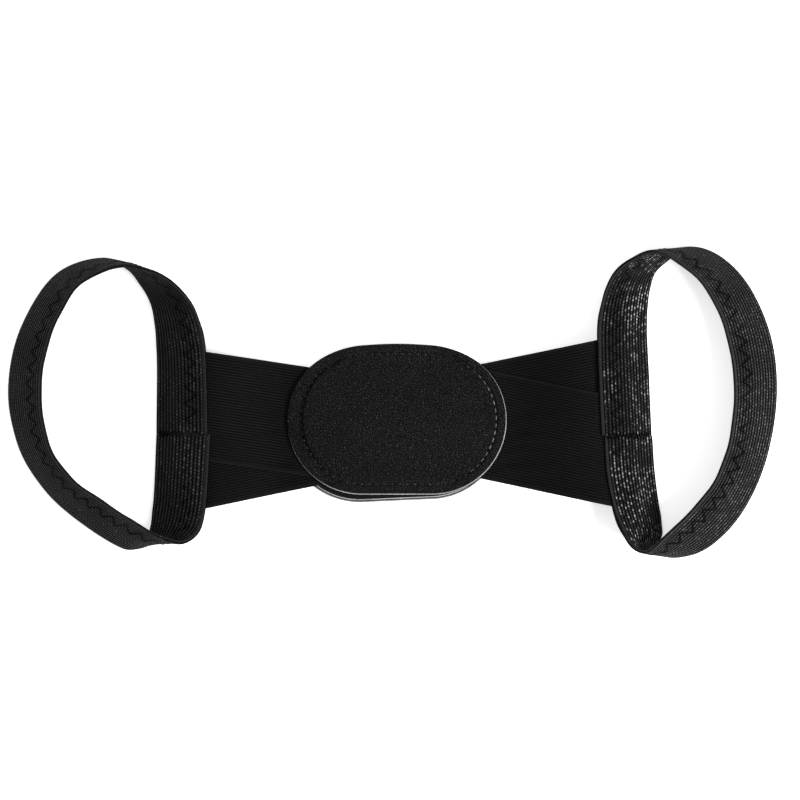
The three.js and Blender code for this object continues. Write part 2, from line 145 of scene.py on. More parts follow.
# %% [markdown]
# ## The arm loops' line
# A loop is one strap that leans all the way round, with its folded edge on the table and its two open
# edges up. It could be drawn as a curve with a bevel, but the strap's lean changes from nearly flat beside
# the pad to nearly upright at the far side. So a few rows hold, for each place round the loop, where the
# open edge lies in plan and how far the fold lies from it, and a smooth curve runs through the rows.
# The columns are: open edge out and up, as shares of the ring; fold out and up from it, and the strap's
# bow, as shares of the strap's width. "Out" points from the pad to the loop, and "up" to the picture's top.

# %% Loop rows
STRAP_WIDTH = 40.0
LAYER = 1.2
LAYER_GAP = 0.3
LEFT_ROWS = np.array([
    [0.000, 0.393, 0.935, 0.00, 0.07],
    [0.016, 0.713, 0.890, -0.02, 0.07],
    [0.048, 0.798, 0.825, -0.02, 0.06],
    [0.099, 0.867, 0.745, 0.00, 0.04],
    [0.201, 0.936, 0.645, 0.02, 0.02],
    [0.341, 0.982, 0.480, 0.08, 0.00],
    [0.484, 1.000, 0.500, 0.15, -0.01],
    [0.726, 0.956, 0.510, 0.15, -0.02],
    [0.811, 0.905, 0.545, 0.11, -0.02],
    [0.889, 0.829, 0.580, 0.05, -0.02],
    [0.953, 0.729, 0.625, 0.02, -0.02],
    [0.992, 0.629, 0.620, 0.00, -0.02],
    [1.000, 0.516, 0.630, -0.02, -0.02],
    [0.984, 0.415, 0.575, -0.05, -0.02],
    [0.940, 0.331, 0.560, -0.11, -0.02],
    [0.877, 0.269, 0.500, -0.18, -0.02],
    [0.774, 0.209, 0.490, -0.29, -0.02],
    [0.496, 0.095, 0.430, -0.40, -0.01],
    [0.367, 0.044, 0.420, -0.36, 0.00],
    [0.260, 0.015, 0.420, -0.18, 0.01],
    [0.151, 0.000, 0.620, 0.00, 0.03],
    [0.074, 0.033, 0.835, 0.06, 0.06],
    [0.036, 0.102, 0.905, 0.04, 0.07],
    [0.000, 0.389, 0.935, 0.00, 0.07],
])
RIGHT_ROWS = np.array([
    [0.026, 0.385, 0.920, 0.00, 0.07],
    [0.007, 0.565, 0.925, 0.00, 0.07],
    [0.000, 0.756, 0.900, 0.02, 0.07],
    [0.026, 0.827, 0.855, 0.02, 0.06],
    [0.066, 0.886, 0.800, -0.02, 0.05],
    [0.130, 0.933, 0.725, -0.02, 0.03],
    [0.243, 0.973, 0.655, -0.03, 0.01],
    [0.390, 1.000, 0.620, 0.07, 0.00],
    [0.551, 0.973, 0.635, 0.20, -0.01],
    [0.669, 0.933, 0.690, 0.21, -0.02],
    [0.765, 0.890, 0.725, 0.18, -0.02],
    [0.846, 0.836, 0.745, 0.14, -0.02],
    [0.959, 0.689, 0.815, 0.05, -0.02],
    [1.000, 0.502, 0.790, 0.00, -0.02],
    [0.941, 0.328, 0.745, -0.14, -0.02],
    [0.860, 0.241, 0.690, -0.31, -0.02],
    [0.750, 0.167, 0.635, -0.43, -0.02],
    [0.625, 0.110, 0.600, -0.46, -0.02],
    [0.489, 0.048, 0.610, -0.32, -0.01],
    [0.353, 0.000, 0.475, -0.11, 0.00],
    [0.257, 0.012, 0.490, -0.05, 0.02],
    [0.176, 0.060, 0.745, -0.01, 0.04],
    [0.114, 0.117, 0.870, 0.00, 0.06],
    [0.051, 0.247, 0.925, 0.00, 0.07],
    [0.029, 0.381, 0.925, 0.00, 0.07],
])

# Each side's ring in plan, in millimetres, its bands, and how far the strap's second end is out of line at
# the seam. A band's row is: name, place in the stack (-1 under, 1 over), slope in degrees, and height where
# it would cross the pad's middle.
SIDES = {
    "left": dict(
        mirror=-1, rows=LEFT_ROWS, start=137.2, reach=120.3, bottom=-87.7, height=200.2, seam_step=2.0,
        bands=[("band_left_lower", -1, -11.6, 5.0), ("band_left_upper", 1, 8.5, -10.1)],
    ),
    "right": dict(
        mirror=1, rows=RIGHT_ROWS, start=146.0, reach=99.0, bottom=-94.3, height=217.7, seam_step=-1.5,
        bands=[("band_right_upper", -1, 11.7, -11.4), ("band_right_lower", 1, -11.9, 11.1)],
    ),
}
print("rows:", {name: len(side["rows"]) for name, side in SIDES.items()})

# %% [markdown]
# The curve runs through every row, so it carries each row's small error of reading as a kink. Beside the pad
# and at the two turns the rows are close together and the kinks are real. On the outer stretch the cloth is
# taut and smooth, so the line is averaged there with a bell-shaped weight.

# %% Smooth curve
SHORTEST_STEP = 1e-4


def smooth_line(rows, shares):
    """Centripetal Catmull-Rom curve: a cubic between two rows, whose slopes weigh the neighbours by the
    square roots of the distances between them. Past each end the first step is repeated, and a step of no
    length counts as its neighbour."""
    spans = len(rows) - 1
    place = np.clip(shares, 0.0, 1.0) * spans
    row = np.minimum(place.astype(int), spans - 1)
    t = (place - row)[:, None]
    longer = np.vstack([2 * rows[0] - rows[1], rows, 2 * rows[-1] - rows[-2]])
    p0, p1, p2, p3 = (longer[row + k] for k in range(4))
    d0, d1, d2 = (
        np.sqrt(np.linalg.norm(b - a, axis=1))[:, None] for a, b in ((p0, p1), (p1, p2), (p2, p3))
    )
    d1 = np.where(d1 < SHORTEST_STEP, 1.0, d1)
    d0 = np.where(d0 < SHORTEST_STEP, d1, d0)
    d2 = np.where(d2 < SHORTEST_STEP, d1, d2)
    leave = d1 * ((p1 - p0) / d0 - (p2 - p0) / (d0 + d1) + (p2 - p1) / d1)
    arrive = d1 * ((p2 - p1) / d1 - (p3 - p1) / (d1 + d2) + (p3 - p2) / d2)
    return (
        (2 * t**3 - 3 * t**2 + 1) * p1 + (t**3 - 2 * t**2 + t) * leave
        + (3 * t**2 - 2 * t**3) * p2 + (t**3 - t**2) * arrive
    )


# %% Even stretch
OUTER_FROM = (130.0, 170.0)
OUTER_TO = (90.0, 130.0)
EVEN_OUT = 9.0


def even_out(values, along):
    """The values averaged along the line with the weight exp(-(distance / width)^2 / 2), but only on the
    outer stretch, whose two ends are eased."""
    bell = np.exp(-0.5 * ((along[:, None] - along) / EVEN_OUT) ** 2)
    average = bell @ values / bell.sum(axis=1)[:, None]
    share = ease(along, *OUTER_FROM) * ease(along[-1] - along, *OUTER_TO)
    return values + (average - values) * share[:, None]


# %% Loop line
STATION_STEP = 2.0
SLOPE_STEP = 1e-4
SEAM_GAP = 0.08
FINE_STEPS = 4001


def loop_line(side):
    """Stations at even steps along one loop. The strap's fixed width less its offset in plan gives the
    open edge's height, sqrt(width^2 - offset^2), and inward is across x forward, both of length one."""
    edge_rows = np.column_stack([
        side["start"] + side["rows"][:, 0] * side["reach"],
        side["bottom"] + side["rows"][:, 1] * side["height"],
        np.zeros(len(side["rows"])),
    ])
    fold_rows = side["rows"][:, 2:5] * STRAP_WIDTH
    fine = np.linspace(0.0, 1.0, FINE_STEPS)
    middle = smooth_line(edge_rows, fine) + smooth_line(fold_rows, fine) * (0.5, 0.5, 0.0)
    run = np.concatenate([[0.0], np.cumsum(np.linalg.norm(np.diff(middle, axis=0), axis=1))])
    count = int(run[-1] / STATION_STEP) + 1
    along = np.linspace(0.0, run[-1], count)
    shares = np.interp(along, run, fine)

    edge = even_out(smooth_line(edge_rows, shares), along)
    forward = smooth_line(edge_rows, shares + SLOPE_STEP) - smooth_line(edge_rows, shares - SLOPE_STEP)
    forward = unit(even_out(unit(forward), along))
    offset = even_out(smooth_line(fold_rows, shares), along)
    drop = np.sqrt(STRAP_WIDTH**2 - offset[:, 0] ** 2 - offset[:, 1] ** 2)
    across = unit(np.column_stack([offset[:, :2], -drop]))
    inward = unit(np.cross(across, forward))
    edge[:, 2] = drop
    edge[[0, -1], 1] = edge[[0, -1], 1].mean() + np.array([SEAM_GAP, -SEAM_GAP]) / 2
    return dict(along=along, shares=shares, edge=edge, across=across, inward=inward, crown=offset[:, 2])


for side in SIDES.values():
    side["line"] = loop_line(side)
print("strap lengths", {name: round(side["line"]["along"][-1]) for name, side in SIDES.items()})

# %% [markdown]
# ## Ribbed elastic
# The strap and the bands are knitted elastic with ribs along their length and a plain bead, the selvedge,
# at each edge. Ribs could be left to a bump map, but they show in the outline and throw real shadows, so
# they are in the mesh: a rib takes six columns of points, close together at the groove. What is finer, the
# knitted loops along each rib, is left to the material, which finds each rib by the grid's coordinates.

# %% Rib columns
RIB_DEPTH = 0.38
RIB_ROUNDNESS = 0.7
SELVEDGE = 2.2
RIB_PHASES = np.array([0.0, 0.12, 0.3, 0.5, 0.7, 0.88])
BEAD = np.array([[0.0, 0.50], [0.12, 0.18], [0.45, 0.0], [1.1, 0.0], [1.7, 0.12]])


def rib_dip(phase):
    """How far a rib's surface lies under its top: depth x (1 - sin(pi x phase)^roundness)."""
    return RIB_DEPTH * (1.0 - np.sin(np.pi * phase) ** RIB_ROUNDNESS)


def rib_row(count, start, pitch):
    """Places of the columns of some ribs, how far each dips, and its coordinate in ribs."""
    ribs = (np.arange(count)[:, None] + RIB_PHASES).ravel()
    return start + ribs * pitch, rib_dip(ribs % 1.0), ribs


print("a rib's columns dip", np.round(rib_dip(RIB_PHASES), 2), "mm")

# %% [markdown]
# The folded strap is a U in section: out along the inner face, round the fold, back along the outer face,
# and in and out again through the space between the layers, which reaches the fold. It is drawn as one
# closed ring of columns, so the strap has two real layers of cloth and not one thick wall. Near the pad the
# space widens to take the bands.

# %% Mouth for the bands
TUCK = 16.0
TUCK_CLEARANCE = 0.5
MOUTH_MARGIN = 8.0
MOUTH_TAPER = 15.0
MOUTH_SHARE = 0.25
THIN_FROM = 0.85
MOUTH_END = (TUCK + 2 * TUCK_CLEARANCE) / STRAP_WIDTH
MOUTH_HALF = LAYER + LAYER_GAP / 2 + TUCK_CLEARANCE
BAND_WIDTH = 78.6
HALF_WIDTH = BAND_WIDTH / 2


def line_up(band, across, out):
    """Height of a line of a band: crossing + out x tan(slope) + across half-widths, measured square."""
    slope = np.radians(band[2])
    return band[3] + out * np.tan(slope) + across * HALF_WIDTH / np.cos(slope)


def mouth_of(side, line):
    """1 where a loop holds the bands between its layers, 0 away from there, eased over the taper."""
    outs = (side["start"], side["start"] + TUCK)
    heights = [line_up(band, edge, out) for band in side["bands"] for edge in (-1, 1) for out in outs]
    low, high = min(heights) - MOUTH_MARGIN, max(heights) + MOUTH_MARGIN
    beyond = np.abs(line["edge"][:, 1] - (low + high) / 2) - (high - low) / 2
    near_pad = line["edge"][:, 0] < side["start"] + MOUTH_SHARE * side["reach"]
    return np.where(near_pad, 1.0 - ease(beyond, 0.0, MOUTH_TAPER), 0.0)


def half_space(line, share):
    """Half the space between the layers: wide in the mouth up to the bands' ends, thin beyond."""
    opened = line["mouth"][:, None] * (1.0 - ease(share, MOUTH_END, THIN_FROM))
    return LAYER_GAP / 2 + (MOUTH_HALF - LAYER_GAP / 2) * opened


print("the mouth is", round(2 * MOUTH_HALF, 2), "mm wide")

# %% Points on the strap


def on_strap(line, share, offset):
    """Points at a share of the width from the open edge and an offset along the surface's normal: the
    straight line between the edges, bowed inwards by 4 x crown x share x (1 - share)."""
    s = np.broadcast_to(share, (len(line["along"]), np.shape(share)[-1]))[..., None]
    crown = line["crown"][:, None, None]
    inward = line["inward"][:, None, :]
    across = line["across"][:, None, :]
    start = line["edge"][:, None, :]
    middle = start + across * STRAP_WIDTH * s + inward * 4 * crown * s * (1 - s)
    normal = unit(inward - across * 4 * crown * (1 - 2 * s) / STRAP_WIDTH)
    return middle + normal * np.broadcast_to(offset, s.shape[:2])[..., None]


# %% Loop section
LAYER_RIBS = 14
FOLD_RIBS = 2
FOLD_RADIUS = LAYER + LAYER_GAP / 2
INSIDE_SHARES = np.array([0.01, 0.1, 0.28, 0.46, 0.56, 0.66, 0.76, 0.86, 0.93, 1.0])


def strap_section(line):
    """Columns round the strap's U: the inner layer's face, the fold, the outer layer's face, and the
    space between. Returns the share and offset of each, and its coordinate in ribs."""
    fold_centre = STRAP_WIDTH - FOLD_RADIUS
    pitch = (fold_centre - SELVEDGE) / LAYER_RIBS
    places, dips, ribs = rib_row(LAYER_RIBS, SELVEDGE, pitch)
    places = np.concatenate([BEAD[:, 0], places])
    dips = np.concatenate([BEAD[:, 1], dips])
    ribs = np.concatenate([BEAD[:, 0] / SELVEDGE - 1.0, ribs])
    edge_step = line["seam_shift"][:, None] / STRAP_WIDTH
    face_share = places / STRAP_WIDTH + edge_step * (1 - places / STRAP_WIDTH)
    face_offset = half_space(line, face_share) + LAYER - dips

    turns, turn_dips, turn_ribs = rib_row(FOLD_RIBS, 0.0, 1.0)
    angle = np.pi * (0.5 - turns / FOLD_RIBS)
    radius = FOLD_RADIUS - turn_dips
    fold_share = (fold_centre + np.cos(angle) * radius) / STRAP_WIDTH
    fold_offset = np.sin(angle) * radius

    inside = edge_step + (fold_centre / STRAP_WIDTH - edge_step) * INSIDE_SHARES
    inside_offset = half_space(line, inside)
    rows = len(line["along"])
    share = np.hstack([
        face_share, np.tile(fold_share, (rows, 1)), face_share[:, ::-1], inside, inside[:, ::-1],
    ])
    offset = np.hstack([
        face_offset, np.tile(fold_offset, (rows, 1)), -face_offset[:, ::-1],
        -inside_offset, inside_offset[:, ::-1],
    ])
    all_ribs = np.concatenate([
        ribs, LAYER_RIBS + turn_ribs, 2 * LAYER_RIBS + FOLD_RIBS - ribs[::-1],
        np.full(2 * inside.shape[1], -0.5),
    ])
    return share, offset, all_ribs


print("the fold is", round(2 * FOLD_RADIUS, 2), "mm thick")

# %% [markdown]
# The strap isn't a ruled surface. The zigzag seam pulls its layers together at every stitch and so makes
# it pucker, and the cloth ripples a little where it is free. Both are small waves along the normal, the
# same for both layers, and they die out where the bands go in.

# %% Strap waves
ZIGZAG_PITCH = 11.8
ZIGZAG_CENTRE = 11.0
ZIGZAG_HALF = 4.4
PUCKER = 0.16
PUCKER_SPREAD = 1.8
RIPPLE = 0.42
RIPPLE_LENGTHS = (9.1, 23.0, 5.3)
RIPPLE_TILTS = (2.2, -4.0)
SLOW_START = 1.7
SHORT_SHARE = 0.6


def strap_wave(line, share):
    """Ripple: a product of two sines along the strap plus a shorter one, tilted by the share so that they
    don't look repeated, and gone at the fold. Pucker: a sine at the zigzag's pitch that fades away from
    the zigzag's middle."""
    run = line["along"][:, None]
    middling, slow, short = RIPPLE_LENGTHS
    ripple = np.sin(run / middling + RIPPLE_TILTS[0] * share) * np.sin(run / slow + SLOW_START)
    ripple = ripple + SHORT_SHARE * np.sin(run / short + RIPPLE_TILTS[1] * share)
    from_zigzag = (share * STRAP_WIDTH - ZIGZAG_CENTRE) / (PUCKER_SPREAD * ZIGZAG_HALF)
    pucker = np.sin(2 * np.pi * run / ZIGZAG_PITCH) * np.exp(-from_zigzag**2)
    free = 1.0 - line["mouth"][:, None]
    return (RIPPLE * ripple * (1 - share) + PUCKER * pucker) * free


def strap_points(line, share, offset):
    """Points of the strap with its waves."""
    return on_strap(line, share, offset + strap_wave(line, share))


# %% Place in the frame
pad_low, pad_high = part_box("pad_front")
PAD_X = (pad_low.x + pad_high.x) / 2 / MM
PAD_Y = (pad_low.y + pad_high.y) / 2 / MM


def place(side, points):
    """From a side's own out and up to the frame: out is turned to its side, and both start at the pad."""
    return points * (side["mirror"], 1.0, 1.0) + (PAD_X, PAD_Y, 0.0)


print("the pad's middle is at", round(PAD_X, 2), round(PAD_Y, 2), "mm")

# %% Loop straps
SEAM_STEP_FROM = 0.8
SEAM_STEP_TO = 0.95


def settle(line):
    """Lowers each station until its section's lowest point is on the table."""
    share, offset = strap_section(line)[:2]
    lowest = strap_points(line, share, offset)[..., 2].min(axis=1)
    line["edge"][:, 2] -= lowest


def make_strap(name, side):
    """One loop's strap as a closed mesh with a flat cap at each end."""
    line = side["line"]
    line["mouth"] = mouth_of(side, line)
    line["seam_shift"] = -side["seam_step"] * ease(line["shares"], SEAM_STEP_FROM, SEAM_STEP_TO)
    settle(line)
    share, offset, ribs = strap_section(line)
    points = strap_points(line, share, offset)
    rows, columns = share.shape
    uv = np.stack(np.broadcast_arrays(ribs, line["along"][:, None]), axis=-1)
    caps = [range(columns), range((rows - 1) * columns, rows * columns)]
    piece = make_mesh(name, place(side, points), grid_faces(rows, columns), caps, uv)
    print(name, len(piece.data.polygons), "faces")
    return piece


loops = {name: make_strap(f"loop_{name}_strap", side) for name, side in SIDES.items()}

# %% [markdown]
# ## The wide bands
# Two bands on each side leave the pad one on the other and slip into the loop's open edge. They lie on one
# shared middle surface, one just above it and one just below, so they can't cut through each other: flat
# under the pad, then a cubic rise that meets the strap with its slope. Near the pad the cloth gathers, so
# the surface has shallow waves there, which fade before they reach the pad's outline.

# %% Gathers
LAYER_STEP = LAYER + LAYER_GAP
PAD_LENGTH = 159.5
PAD_HEIGHT = 108.5
PAD_RADIUS = PAD_HEIGHT / 2
PAD_HALF_STRAIGHT = PAD_LENGTH / 2 - PAD_RADIUS
PAD_BACK_THICKNESS = 2.0
STACK_MIDDLE = PAD_BACK_THICKNESS + LAYER_GAP + LAYER + LAYER_GAP / 2
GATHER = 0.60
GATHER_WAVES = ((1.0, 1.9, 0.02, 0.0), (0.7, 3.1, 0.0, 1.3))
GATHER_FROM = 2.0
GATHER_FULL = 9.0
GATHER_END = 42.0
GATHER_HEIGHTS = (-46.0, 20.0)


def outside_pad(out, up):
    """Distance outside the pad's stadium outline, below zero inside it."""
    past = np.maximum(np.abs(out) - PAD_HALF_STRAIGHT, 0.0)
    return np.hypot(past, up) - PAD_RADIUS


def gather(out, up):
    """Height of the gathers near the pad: two sines across the bands, share x sin(up / length + tilt x out
    + start), eased in and out along them, and fading out towards the picture's top."""
    away = outside_pad(out, up)
    strength = ease(away, GATHER_FROM, GATHER_FULL) * (1.0 - ease(away, GATHER_FULL, GATHER_END))
    waves = sum(
        share * np.sin(up / length + tilt * out + start) for share, length, tilt, start in GATHER_WAVES
    )
    return GATHER * strength * waves * ease(-up, *GATHER_HEIGHTS)


print("gathers at 60 mm out:", np.round(gather(60.0, np.linspace(-40.0, 40.0, 5)), 2), "mm")

# %% [markdown]
# A band has to meet the strap at its open edge wherever its own slanting line happens to arrive. So the
# strap's middle surface is looked up at a height beside the pad, and the search is made again a few times
# with the place just found.

# %% Bands meet the strap
BESIDE_SHARE = 0.14
SEARCH_ROUNDS = 5
LEVEL_OUT = (0.6, 0.95)


def strap_beside_pad(side, share, up):
    """The strap's middle surface and normal at a share of its width, at given heights beside the pad."""
    line = side["line"]
    middle = on_strap(line, np.array([share]), 0.0)[:, 0]
    above = on_strap(line, np.array([share]), 1.0)[:, 0]
    half = len(middle) // 2
    order = np.r_[half:len(middle), 0:half]
    beside = order[line["edge"][order, 0] < side["start"] + BESIDE_SHARE * side["reach"]]
    heights = middle[beside, 1]
    point = np.column_stack([np.interp(up, heights, middle[beside, k]) for k in range(3)])
    normal = np.column_stack([np.interp(up, heights, (above - middle)[beside, k]) for k in range(3)])
    return point, unit(normal)


def band_surface(side, band, across, out_share=None, tuck_share=None):
    """Middle surface along the band's lines, at a share of the way from the pad's end to the strap's open
    edge (below 0 it is under the pad), or at a share of the tuck inside the strap. Where a line meets the
    strap is found by trying again at the place just found, a few times."""
    inside = 0.0 if tuck_share is None else tuck_share * TUCK / STRAP_WIDTH
    reach = np.full(len(across), side["start"])
    for _ in range(SEARCH_ROUNDS):
        strap, normal = strap_beside_pad(side, inside, line_up(band, across, reach))
        reach = strap[:, 0]
    if tuck_share is not None:
        return strap, normal
    pad_end = PAD_LENGTH / 2
    out = pad_end + (reach - pad_end) * out_share if out_share >= 0 else pad_end * (1 + out_share)
    out = np.broadcast_to(out, across.shape)
    up = line_up(band, across, out)
    strap, normal = strap_beside_pad(side, 0.0, up)
    run = strap[:, 0] - pad_end
    s = np.maximum(0.0, (out - pad_end) / run)
    rise = strap[:, 2] - STACK_MIDDLE
    end_slope = -normal[:, 0] / normal[:, 2]
    z = STACK_MIDDLE + rise * (3 * s**2 - 2 * s**3) + end_slope * run * (s**3 - s**2)
    slope = rise * (6 * s - 6 * s**2) / run + end_slope * (3 * s**2 - 2 * s)
    z = z + gather(out, up) * (1.0 - ease(s, *LEVEL_OUT))
    return np.column_stack([out, up, z]), unit(np.column_stack([-slope, 0 * slope, 1 + 0 * slope]))


# %% [markdown]
# Each band is a sheet with the same ribs on both faces. Solidify could give a ribbed plane its thickness,
# but it would push both faces the same way. Here they are worked out from the shared surface, so the cloth
# is thin in the grooves and thick on the ribs. The ends are flat caps, hidden under the pad and inside the
# strap.

# %% Wide bands
BAND_RIBS = 37
BAND_RIB_SHARE = 0.6
BAND_UNDER_PAD = np.linspace(-0.46, -0.0125, 26)
BAND_FREE = np.linspace(0.0, 1.0, 44)
BAND_TUCKED = np.linspace(0.08, 1.0, 8)


def make_band(side, band):
    """One band: middle surface + normal x (level + or - (half a layer - dip x share)). Its stretched ribs
    are flatter than the strap's, by that share."""
    name, layer = band[:2]
    pitch = (BAND_WIDTH - 2 * SELVEDGE) / BAND_RIBS
    places, dips, ribs = rib_row(BAND_RIBS, SELVEDGE, pitch)
    places = np.concatenate([BEAD[:, 0], places, BAND_WIDTH - SELVEDGE + 0 * BEAD[:1, 0],
                             BAND_WIDTH - BEAD[::-1, 0]])
    dips = np.concatenate([BEAD[:, 1], dips, [RIB_DEPTH], BEAD[::-1, 1]])
    ribs = np.concatenate([BEAD[:, 0] / SELVEDGE - 1.0, ribs, [BAND_RIBS],
                           BAND_RIBS + 1 - BEAD[::-1, 0] / SELVEDGE])
    across = 2 * places / BAND_WIDTH - 1
    stations = [band_surface(side, band, across, out_share=s) for s in (*BAND_UNDER_PAD, *BAND_FREE)]
    stations += [band_surface(side, band, across, tuck_share=s) for s in BAND_TUCKED]
    middle = np.stack([point for point, normal in stations])
    normal = np.stack([normal for point, normal in stations])
    level = layer * LAYER_STEP / 2
    thickness = LAYER / 2 - dips * BAND_RIB_SHARE
    top = middle + normal * (level + thickness)[None, :, None]
    under = middle + normal * (level - thickness)[None, :, None]
    points = np.concatenate([top, under[:, ::-1]], axis=1)
    centre = middle[:, len(across) // 2]
    run = np.concatenate([[0.0], np.cumsum(np.linalg.norm(np.diff(centre, axis=0), axis=1))])
    columns = points.shape[1]
    uv = np.stack(np.broadcast_arrays(np.concatenate([ribs, ribs[::-1]]), run[:, None]), axis=-1)
    rows = len(points)
    half = columns // 2
    opposite = columns - 1 - np.arange(half)
    i = np.arange(half - 1)
    first = np.stack([i, i + 1, opposite[1:], opposite[:-1]], axis=1)
    caps = np.concatenate([first, first + (rows - 1) * columns]).tolist()
    piece = make_mesh(name + "_cloth", place(side, points), grid_faces(rows, columns), caps, uv)
    print(name, len(piece.data.polygons), "faces,", round(run[-1]), "mm long")
    return piece, run[-1]


bands = {band[0]: make_band(side, band) for side in SIDES.values() for band in side["bands"]}

# %% [markdown]
# ## Stitches
# A sewing stitch is a short piece of thread that comes out of one needle hole and goes into the next. A
# curve with a round bevel could follow it, but there are hundreds, so one function makes them all as one
# joined mesh of small arched capsules, from arrays of their ends and of the cloth's normals there.

# %% Stitch mesh
THREAD_RINGS = 6
THREAD_SIDES = 6
THREAD_TIP = 0.12


def make_stitches(name, start, end, normal, radius, lift, sink):
    """Each stitch: start + (end - start) t + normal x (lift sin(pi t) - sink), with a round section whose
    radius is radius x sqrt(1 - (2t - 1)^6), never under a third of it. sink is one value or one a stitch."""
    t = np.linspace(0.0, 1.0, THREAD_RINGS)
    taper = np.sqrt(np.maximum(1.0 - (2 * t - 1) ** 6, THREAD_TIP))
    rise = lift * np.sin(np.pi * t) - np.reshape(sink, (-1, 1))
    centre = start[:, None] + (end - start)[:, None] * t[:, None] + normal[:, None] * rise[..., None]
    sideways = unit(np.cross(end - start, normal))
    angle = 2 * np.pi * np.arange(THREAD_SIDES) / THREAD_SIDES
    spoke = sideways[:, None] * np.cos(angle)[:, None] + normal[:, None] * np.sin(angle)[:, None]
    points = centre[:, :, None] + spoke[:, None] * (radius * taper)[None, :, None, None]
    count = len(start)
    size = THREAD_RINGS * THREAD_SIDES
    shift = (np.arange(count) * size)[:, None, None]
    quads = (grid_faces(THREAD_RINGS, THREAD_SIDES) + shift).reshape(-1, 4)
    cap = np.arange(THREAD_SIDES)
    caps = np.concatenate([cap[::-1] + shift[:, 0], cap + size - THREAD_SIDES + shift[:, 0]]).tolist()
    run = np.linalg.norm(end - start, axis=1)[:, None, None] * t[:, None]
    uv = np.stack(np.broadcast_arrays(angle / (2 * np.pi), run), axis=-1)
    piece = make_mesh(name, points, quads, caps, uv)
    print(name, count, "stitches")
    return piece


# %% Places on the strap's faces


def line_at(line, run):
    """The loop's stations at any places along it, between the two nearest ones."""
    found = {"along": run}
    for key in ("edge", "across", "inward"):
        found[key] = np.column_stack([np.interp(run, line["along"], line[key][:, k]) for k in range(3)])
    for key in ("crown", "mouth", "seam_shift"):
        found[key] = np.interp(run, line["along"], line[key])
    found["across"] = unit(found["across"])
    found["inward"] = unit(found["inward"])
    return found


def on_face(side, run, width_place, face):
    """Point and outward normal on the strap's inner face (+1) or outer face (-1)."""
    near = line_at(side["line"], run)
    share = (width_place / STRAP_WIDTH)[:, None]
    level = half_space(near, share) + LAYER
    point = place(side, strap_points(near, share, face * level)[:, 0])
    above = place(side, strap_points(near, share, face * (level + 1.0))[:, 0])
    return point, unit(above - point)


# %% [markdown]
# The long seam on the straps is a three-step zigzag, which can stretch with the elastic: three short
# stitches one way, then three back. It shows on both faces. A close row of slanting stitches joins the
# strap's two ends, and shows on the inner face only.

# %% Zigzag seams
THREAD_RADIUS = 0.27
THREAD_LIFT = 0.34
THREAD_SINK = 0.16
ZIGZAG_STEPS = np.array([-1, -1 / 3, 1 / 3, 1, 1 / 3, -1 / 3])
ZIGZAG_END = 4.0


def zigzag(side, face):
    """Needle holes of a three-step zigzag: a triangle wave with three stitches on each leg."""
    step = ZIGZAG_PITCH / len(ZIGZAG_STEPS)
    run = np.arange(ZIGZAG_END, side["line"]["along"][-1] - ZIGZAG_END, step)
    wave = ZIGZAG_STEPS[np.arange(len(run)) % len(ZIGZAG_STEPS)]
    point, normal = on_face(side, run, ZIGZAG_CENTRE + ZIGZAG_HALF * wave, face)
    return point[:-1], point[1:], normal[:-1]


# %% Sewing the loops
JOIN_FROM = 3.0
JOIN_TO = 2.0
JOIN_PITCH = 2.2
JOIN_REACH = 2.4


def sew_loop(name, side):
    """The zigzag on both faces, and the row that joins the strap's two ends on the inner face."""
    legs = [zigzag(side, face) for face in (1, -1)]
    total = side["line"]["along"][-1]
    places = np.arange(JOIN_FROM, STRAP_WIDTH - JOIN_TO, JOIN_PITCH)
    before = on_face(side, np.full(len(places), total - JOIN_REACH), places, 1)
    after = on_face(side, np.full(len(places), JOIN_REACH), places + JOIN_PITCH / 2, 1)
    legs.append((before[0], after[0], before[1]))
    legs.append((after[0][:-1], before[0][1:], after[1][:-1]))
    start, end, normal = (np.concatenate(part) for part in zip(*legs))
    return make_stitches(
        f"loop_{name}_seams", start, end, normal, THREAD_RADIUS, THREAD_LIFT, THREAD_SINK,
    )


loop_seams = {name: sew_loop(name, side) for name, side in SIDES.items()}

# %% [markdown]
# ## The pad
# The pad's front is leatherette over thin foam, cut as a stadium and sewn down all round. Its outline is
# two half circles joined by straight sides, so rings of that outline, moved in step by step, follow both
# the rim and the stitched groove, which a square grid would cut across. The rings end in the line between
# the two circles' centres, where their points meet and are merged.

# %% Stadium rings
ARC_STEPS = 132
SIDE_STEPS = 44
ARC = np.linspace(-np.pi / 2, np.pi / 2, ARC_STEPS + 1)
SLIDE = np.linspace(1.0, -1.0, SIDE_STEPS + 1)[1:-1]
TURN = np.concatenate([ARC, 0 * SLIDE + np.pi / 2, ARC + np.pi, 0 * SLIDE - np.pi / 2])
ALONG_SIDE = np.concatenate([0 * ARC + 1, SLIDE, 0 * ARC - 1, -SLIDE])
SEAM_INSET = 7.3
SEAM_SHIFT = 1.4
SEAM_SQUEEZE = 0.020
TOP_BOW = 1.2
BOW_SPAN = 52.0


def ring(inset, shift_x=0.0, shift_y=0.0):
    """Stadium moved in by inset: (side x half straight + r cos(turn), r sin(turn)), r = radius - inset. Its
    upper side is bowed: y + bow cos(pi x / span) (y / radius)^2 where y is above zero."""
    radius = PAD_RADIUS - inset
    x = ALONG_SIDE * PAD_HALF_STRAIGHT + radius * np.cos(TURN)
    y = radius * np.sin(TURN)
    y = y + TOP_BOW * np.cos(np.pi * x / BOW_SPAN) * (np.maximum(y, 0.0) / PAD_RADIUS) ** 2
    return x + shift_x, y + shift_y


def seam_ring(inset):
    """The stitched line is a little shorter than the rim and sits to the right, so each ring is squeezed
    and moved as it nears the line: x (1 - squeeze e) + shift e, with e eased from the rim to the line."""
    near = ease(inset, 0.0, SEAM_INSET)
    x, y = ring(inset)
    return x * (1.0 - SEAM_SQUEEZE * near) + SEAM_SHIFT * near, y


